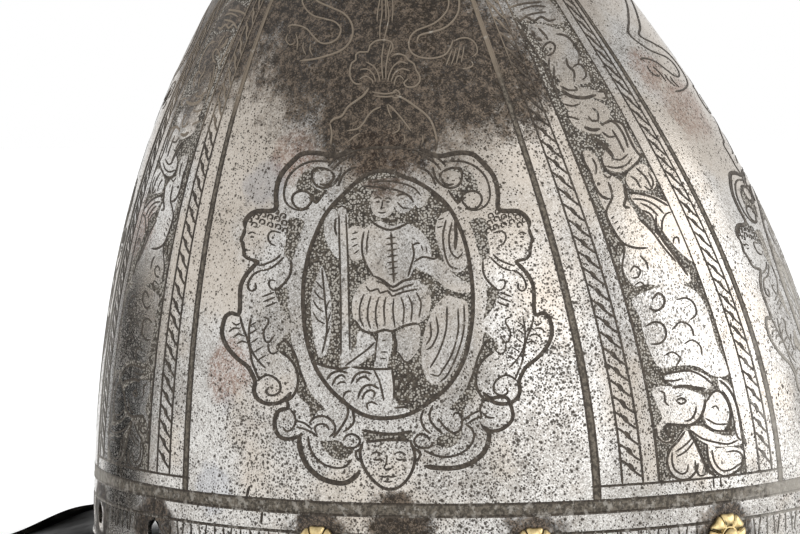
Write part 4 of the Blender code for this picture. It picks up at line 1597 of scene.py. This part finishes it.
ovalLine = 4.2
hairCurl = {"line": 1.6, "points": ((-3, 1), (-1, -2.5), (2.5, -1.5), (2, 2), (-0.5, 1.5))}
crestThinning = 0.66


def layDrawings():
    # The right panel's drawings, the scratch and the right front band's drawings.
    layOnBowl("ground", [areaSlab(ovalEdge)], panelPlaces)
    halves = list(cartouche["ground"])
    halves += [mirrored(outline)[::-1] for outline in cartouche["ground"]]
    halves += lowerCartouche["ground"]
    layOnBowl("ground", [areaSlab(outline) for outline in halves], panelPlaces)
    layOnBowl("figures", [areaSlab(outline) for outline in soldier["figures"]], panelPlaces)
    lines = [strokeSlab(ovalEdge, ovalLine, closed=True)]
    curls = [(hairCurl["line"], [(x + dx, y + dy) for dx, dy in hairCurl["points"]])
             for x, y in cartouche["curls"]]
    for width, points in cartouche["strokes"] + curls:
        lines.append(strokeSlab(points, width))
        lines.append(strokeSlab(mirrored(points), width))
    for drawn, thinning in ((lowerCartouche, 1.0), (crest, crestThinning), (soldier, 1.0)):
        lines += [strokeSlab(points, width * thinning) for width, points in drawn["strokes"]]
    layOnBowl("lines", lines, panelPlaces)
    layOnBowl("lines", [strokeSlab(points, width) for width, points in baseScratch],
              lambda flat: [sightToBowl(flat)])
    bandLines = [strokeSlab(points, width) for width, points in bandDrawing["strokes"]]
    layOnBowl("lines", bandLines, bandPlaces)
    layOnBowl("figures", [areaSlab(outline) for outline in bandDrawing["figures"]], bandPlaces)
    print("drawings laid on the bowl")


def pick(places, wanted):
    # Some of a mark's places on the bowl, by their number.
    return [place for number, place in enumerate(places) if number in wanted]


def hatching():
    # Short strokes round the foot, leaning three ways in turn, with gaps at the worn holes.
    b = baseBorders
    holes = [np.degrees(rivetPlace(place)[2]) % 360 for place in rosette["lost"]]
    above, below = [height * millimetre for height in b["hatchHeights"]]
    strokes = []
    for number, x in enumerate(np.arange(*b["hatchRound"])):
        lean = b["hatchLeans"][number % 3]
        if min(abs((x / 10) % 360 - hole) for hole in holes) > b["holeGap"]:
            strokes.append(strokeSlab([(x, above), (x + lean, below)], b["hatchLine"]))
    return strokes


def layBorders():
    # Field ground, border strips and ropes of the four bands, then the rings round the base.
    wide = drawingUnits["bandWide"]
    left, right = [share * wide for share in bandBorders["fieldLines"]]
    steps = np.linspace(bandBorders["foot"] * millimetre, bandTop(), bandBorders["fieldRows"])
    field = [(left, y) for y in steps] + [(right, y) for y in steps[::-1]]
    layOnBowl("ground", [areaSlab(field, bandBorders["fieldSpacing"], smooth=False)], ropePlaces)
    lines, strips = bandSheetMarks()
    layOnBowl("borders", lines, ropePlaces)
    layOnBowl("strips", strips, ropePlaces)
    layOnBowl("borders", ropeMarks(1), lambda flat: pick(ropePlaces(flat), (0, 3)))
    layOnBowl("borders", ropeMarks(-1), lambda flat: pick(ropePlaces(flat), (1, 2)))
    around = np.arange(*baseBorders["round"])
    rings = [strokeSlab(np.stack([around, 0 * around + z * millimetre], axis=-1), width)
             for z, width in baseBorders["lines"]]
    layOnBowl("borders", rings + hatching(), ringPlaces)
    low, high = [height * millimetre for height in baseBorders["strip"]]
    ringEdge = [(x, low) for x in around] + [(x, high) for x in around[::-1]]
    layOnBowl("strips", [areaSlab(ringEdge, baseBorders["stripSpacing"], smooth=False)], ringPlaces)
    footLine = [(share * wide, bandBorders["foot"] * millimetre) for share in bandBorders["footEnds"]]
    foot = [strokeSlab(footLine, bandBorders["footLine"])]
    for share in bandBorders["ticks"]:
        tick = [(share * wide, height * millimetre) for height in bandBorders["tickHeights"]]
        foot.append(strokeSlab(tick, bandBorders["tickLine"]))
    layOnBowl("borders", foot, ropePlaces)
    print("borders and ropes laid")


layDrawings()
layBorders()
buildEtching("ground", groundFinish, drawingUnits["groundLift"])
buildEtching("strips", stripFinish, drawingUnits["groundLift"])
buildEtching("figures", figureFinish, drawingUnits["figureLift"])
buildEtching("lines", lineFinish, drawingUnits["lineLift"])
buildEtching("borders", lineFinish, drawingUnits["lineLift"])


def rosetteRings():
    # Rings about the rivet's axis: domed head, hollow, eight cupped petals, then the shank inside.
    # Each ring comes with how far it lies in a hollow, for the tarnish.
    r = rosette
    turn = np.arange(r["sides"]) * 2 * np.pi / r["sides"]
    flat = 0 * turn
    wave = np.abs(np.cos(r["petals"] / 2 * turn))
    lobe = 1 - r["petalDepth"] * (1 - wave ** r["lobePower"]) - r["lobeRipple"] * np.cos(r["petals"] * turn)
    crown = r["seat"] + r["thickness"] + r["rise"]
    neck = r["headRadius"] * r["neck"]
    rings, hollows = [], []
    start, rise, power = r["headHollow"]
    first, count = r["headRings"]
    for lift in np.linspace(first, 1, count):
        bend = lift * np.pi / 2
        rings.append((r["headRadius"] * np.sin(bend) + flat, crown + r["headHeight"] * np.cos(bend)))
        hollows.append(start + rise * lift ** power + flat)
    start, fall, end = r["cupHollow"]
    seamShare, seamPower = r["seamHollow"]
    first, count = r["petalRings"]
    for out in np.linspace(first, 1, count):
        reach = neck + (r["radius"] - neck) * out
        cup = np.sin(np.pi * np.clip(out * r["cupShare"] + 1 - r["cupShare"], 0, 1)) ** r["cupPower"]
        seam = (1 - wave ** r["seamPower"]) * np.clip(out * r["seamRise"], 0, 1)
        height = (crown - r["rise"] * (0.5 - 0.5 * cup) - r["rise"] * r["seamDepth"] * seam
                  - r["rise"] * r["edgeDrop"] * out ** 4)
        rings.append((reach * (1 - (1 - lobe) * out ** r["lobeGrowth"]), height + flat))
        hollows.append(np.clip(start - fall * cup, 0, 1) * (out < end) + seamShare * seam ** seamPower)
    low = r["seat"]
    wall = -bowl["wall"] - r["innerGap"]
    for reach, height in ((r["radius"] * lobe, low), (r["shank"], low), (r["shank"], wall),
                          (r["clenchRadius"], wall),
                          (r["clenchRadius"] * r["clenchTaper"], wall - r["clenchThick"])):
        rings.append((reach + flat, height + flat))
        hollows.append(r["shankHollow"] + flat)
    points = np.array([np.stack([reach * np.cos(turn), reach * np.sin(turn), height + flat], axis=-1)
                       for reach, height in rings])
    return points, np.array(hollows)


def rosettePiece(number, place, points, hollows):
    # Places the rings on the bowl: their axis is the wall's outward normal.
    centre, axes, _ = rivetPlace(place)
    placed = points.reshape(-1, 3) @ axes + centre
    rows, sides = points.shape[:2]
    crown = rosette["seat"] + rosette["thickness"] + rosette["rise"] + rosette["headHeight"]
    tail = -bowl["wall"] - rosette["innerGap"] - rosette["clenchThick"] - rosette["tailDome"]
    poles = centre + np.outer([crown, tail], axes[2])
    row, column = np.meshgrid(np.arange(rows - 1), np.arange(sides), indexing="ij")
    beside = (column + 1) % sides
    quads = np.stack([row * sides + column, (row + 1) * sides + column,
                      (row + 1) * sides + beside, row * sides + beside], axis=-1).reshape(-1, 4)
    j = np.arange(sides)
    k = (j + 1) % sides
    last = (rows - 1) * sides
    fans = np.concatenate([np.stack([np.full(sides, rows * sides), j, k], axis=-1),
                           np.stack([np.full(sides, rows * sides + 1), last + k, last + j], axis=-1)])
    piece = makeMesh(f"rosette_brass_{number:02d}", np.concatenate([placed, poles]),
                     quads.tolist() + fans.tolist(), [brassFinish])
    storePointValues(piece, "hollow", np.concatenate([hollows.ravel(), rosette["poleHollows"]]))
    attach(piece, "root")
    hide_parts(f"rosette_{number:02d}")


rosettePoints, rosetteHollows = rosetteRings()
kept = [place for place in range(rosette["count"]) if place not in rosette["lost"]]
for number, place in enumerate(kept, start=1):
    rosettePiece(number, place, rosettePoints, rosetteHollows)
print("rosettes made:", len(kept))

studio = {
    "floor": (0.97, 0.97, 0.965),
    "horizon": (1.0, 1.0, 1.0),
    # The glow stops under and close to the helmet: a painted shadow round its foot.
    "floorGlow": 0.40,  # lifts the floor to the white of the air, except under and close to the helmet
    "paintedShadowReach": (0.13, 0.20),
    "zenith": (0.55, 0.55, 0.55),
    "gradient": (0.15, 1.00),  # sine of the elevation where the darkening starts and ends
    "lights": (  # name, place, aimed at, size, watts
        ("broad_side_light", (0.35, -2.3, 0.40), (0, 0, 0.08), 2.0, 21),
        ("front_light", (-1.9, -1.5, 0.60), (0, 0, 0.08), 1.3, 5.5),
        ("upper_light", (-1.0, -1.5, 1.70), (0, 0, 0.10), 1.2, 2.5),
    ),
    "card": {  # dark card behind the left, seen only in the steel: it lies flat, then stands
        "hinge": (-0.06, 0.09),
        "turns": (np.radians(47), np.radians(79)),
        "near": 0.13,
        "far": 3.0,
        "tall": 0.40,
        "lift": 0.001,
        "paint": (0.01, 0.01, 0.01, 1),
    },
    "floorHalf": 30,
    "floorRoughness": 0.9,
}


def buildCard():
    # Two quads between two directions from the hinge: one on the floor, one upright at its far end.
    card = studio["card"]
    corners = []
    for reach, height in ((card["near"], card["lift"]), (card["far"], card["lift"]),
                          (card["far"], card["tall"])):
        for turn in card["turns"]:
            corners.append((card["hinge"][0] + reach * np.cos(turn),
                            card["hinge"][1] + reach * np.sin(turn), height))
    mesh = bpy.data.meshes.new("dark_card")
    mesh.from_pydata(corners, [], [(0, 1, 3, 2), (2, 3, 5, 4)])
    paint, _, shader = newMaterial("dark_card_paint")
    shader.inputs["Base Color"].default_value = card["paint"]
    shader.inputs["Roughness"].default_value = 1.0
    shader.inputs["Specular IOR Level"].default_value = 0.0
    mesh.materials.append(paint)
    piece = bpy.data.objects.new("dark_card", mesh)
    bpy.context.scene.collection.objects.link(piece)
    piece.visible_camera = False
    piece.visible_diffuse = False
    piece.visible_shadow = False


def shadeSky(tree):
    # White at the horizon, greyer overhead, by the height of each direction.
    toward = addNode(tree, "ShaderNodeTexCoord").outputs["Generated"]
    height = addNode(tree, "ShaderNodeSeparateXYZ", Vector=toward).outputs["Z"]
    sky = mixColor(tree, ramp(tree, height, *studio["gradient"]), studio["horizon"], studio["zenith"])
    tree.links.new(sky, tree.nodes["Background"].inputs["Color"])


def buildFloor():
    # A square floor that glows, and glows less within the reach of the helmet, which paints a shadow round
    # it.
    half = studio["floorHalf"]
    floorMesh = bpy.data.meshes.new("pale_floor")
    floorMesh.from_pydata([(-half, -half, 0), (half, -half, 0), (half, half, 0), (-half, half, 0)], [],
                          [(0, 1, 2, 3)])
    floor = bpy.data.objects.new("pale_floor", floorMesh)
    bpy.context.scene.collection.objects.link(floor)
    paint, tree, shader = newMaterial("pale_floor_paint")
    shader.inputs["Base Color"].default_value = (*studio["floor"], 1)
    shader.inputs["Roughness"].default_value = studio["floorRoughness"]
    shader.inputs["Emission Color"].default_value = (1, 1, 1, 1)
    away = addNode(tree, "ShaderNodeVectorMath", {"operation": "LENGTH"},
                   _0=objectPlace(tree)).outputs["Value"]
    # Less glow near the helmet paints a shadow round it.
    glow = math2(tree, "MULTIPLY", ramp(tree, away, *studio["paintedShadowReach"]), studio["floorGlow"])
    tree.links.new(glow, shader.inputs["Emission Strength"])
    floorMesh.materials.append(paint)


def buildStudio():
    buildFloor()
    buildCard()
    world = bpy.data.worlds.new("studio_air")
    world.use_nodes = True
    shadeSky(world.node_tree)
    bpy.context.scene.world = world
    bpy.context.scene.view_settings.view_transform = "Standard"
    for name, place, target, size, watts in studio["lights"]:
        data = bpy.data.lights.new(name, "AREA")
        data.size = size
        data.energy = watts
        lamp = bpy.data.objects.new(name, data)
        lamp.location = place
        lamp.rotation_euler = (Vector(target) - Vector(place)).to_track_quat("-Z", "Y").to_euler()
        lamp.visible_camera = False
        bpy.context.scene.collection.objects.link(lamp)


def placeCamera():
    # The camera's axes are the picture's right and up and the reverse of its aim.
    data = bpy.data.cameras.new("photo_view")
    data.sensor_width = sightLine["sensor"]
    data.lens = sightLine["focal"] * data.sensor_width / sightLine["pictureWide"]
    data.clip_start = sightLine["near"]
    data.clip_end = sightLine["far"]
    camera = bpy.data.objects.new("photo_view", data)
    turned = np.eye(4)
    turned[:3, 0] = sightLine["right"]
    turned[:3, 1] = sightLine["up"]
    turned[:3, 2] = -sightLine["aim"]
    turned[:3, 3] = sightLine["place"]
    camera.matrix_world = Matrix(turned.tolist())
    bpy.context.scene.collection.objects.link(camera)
    bpy.context.scene.camera = camera


buildStudio()
placeCamera()
print("studio and camera made")
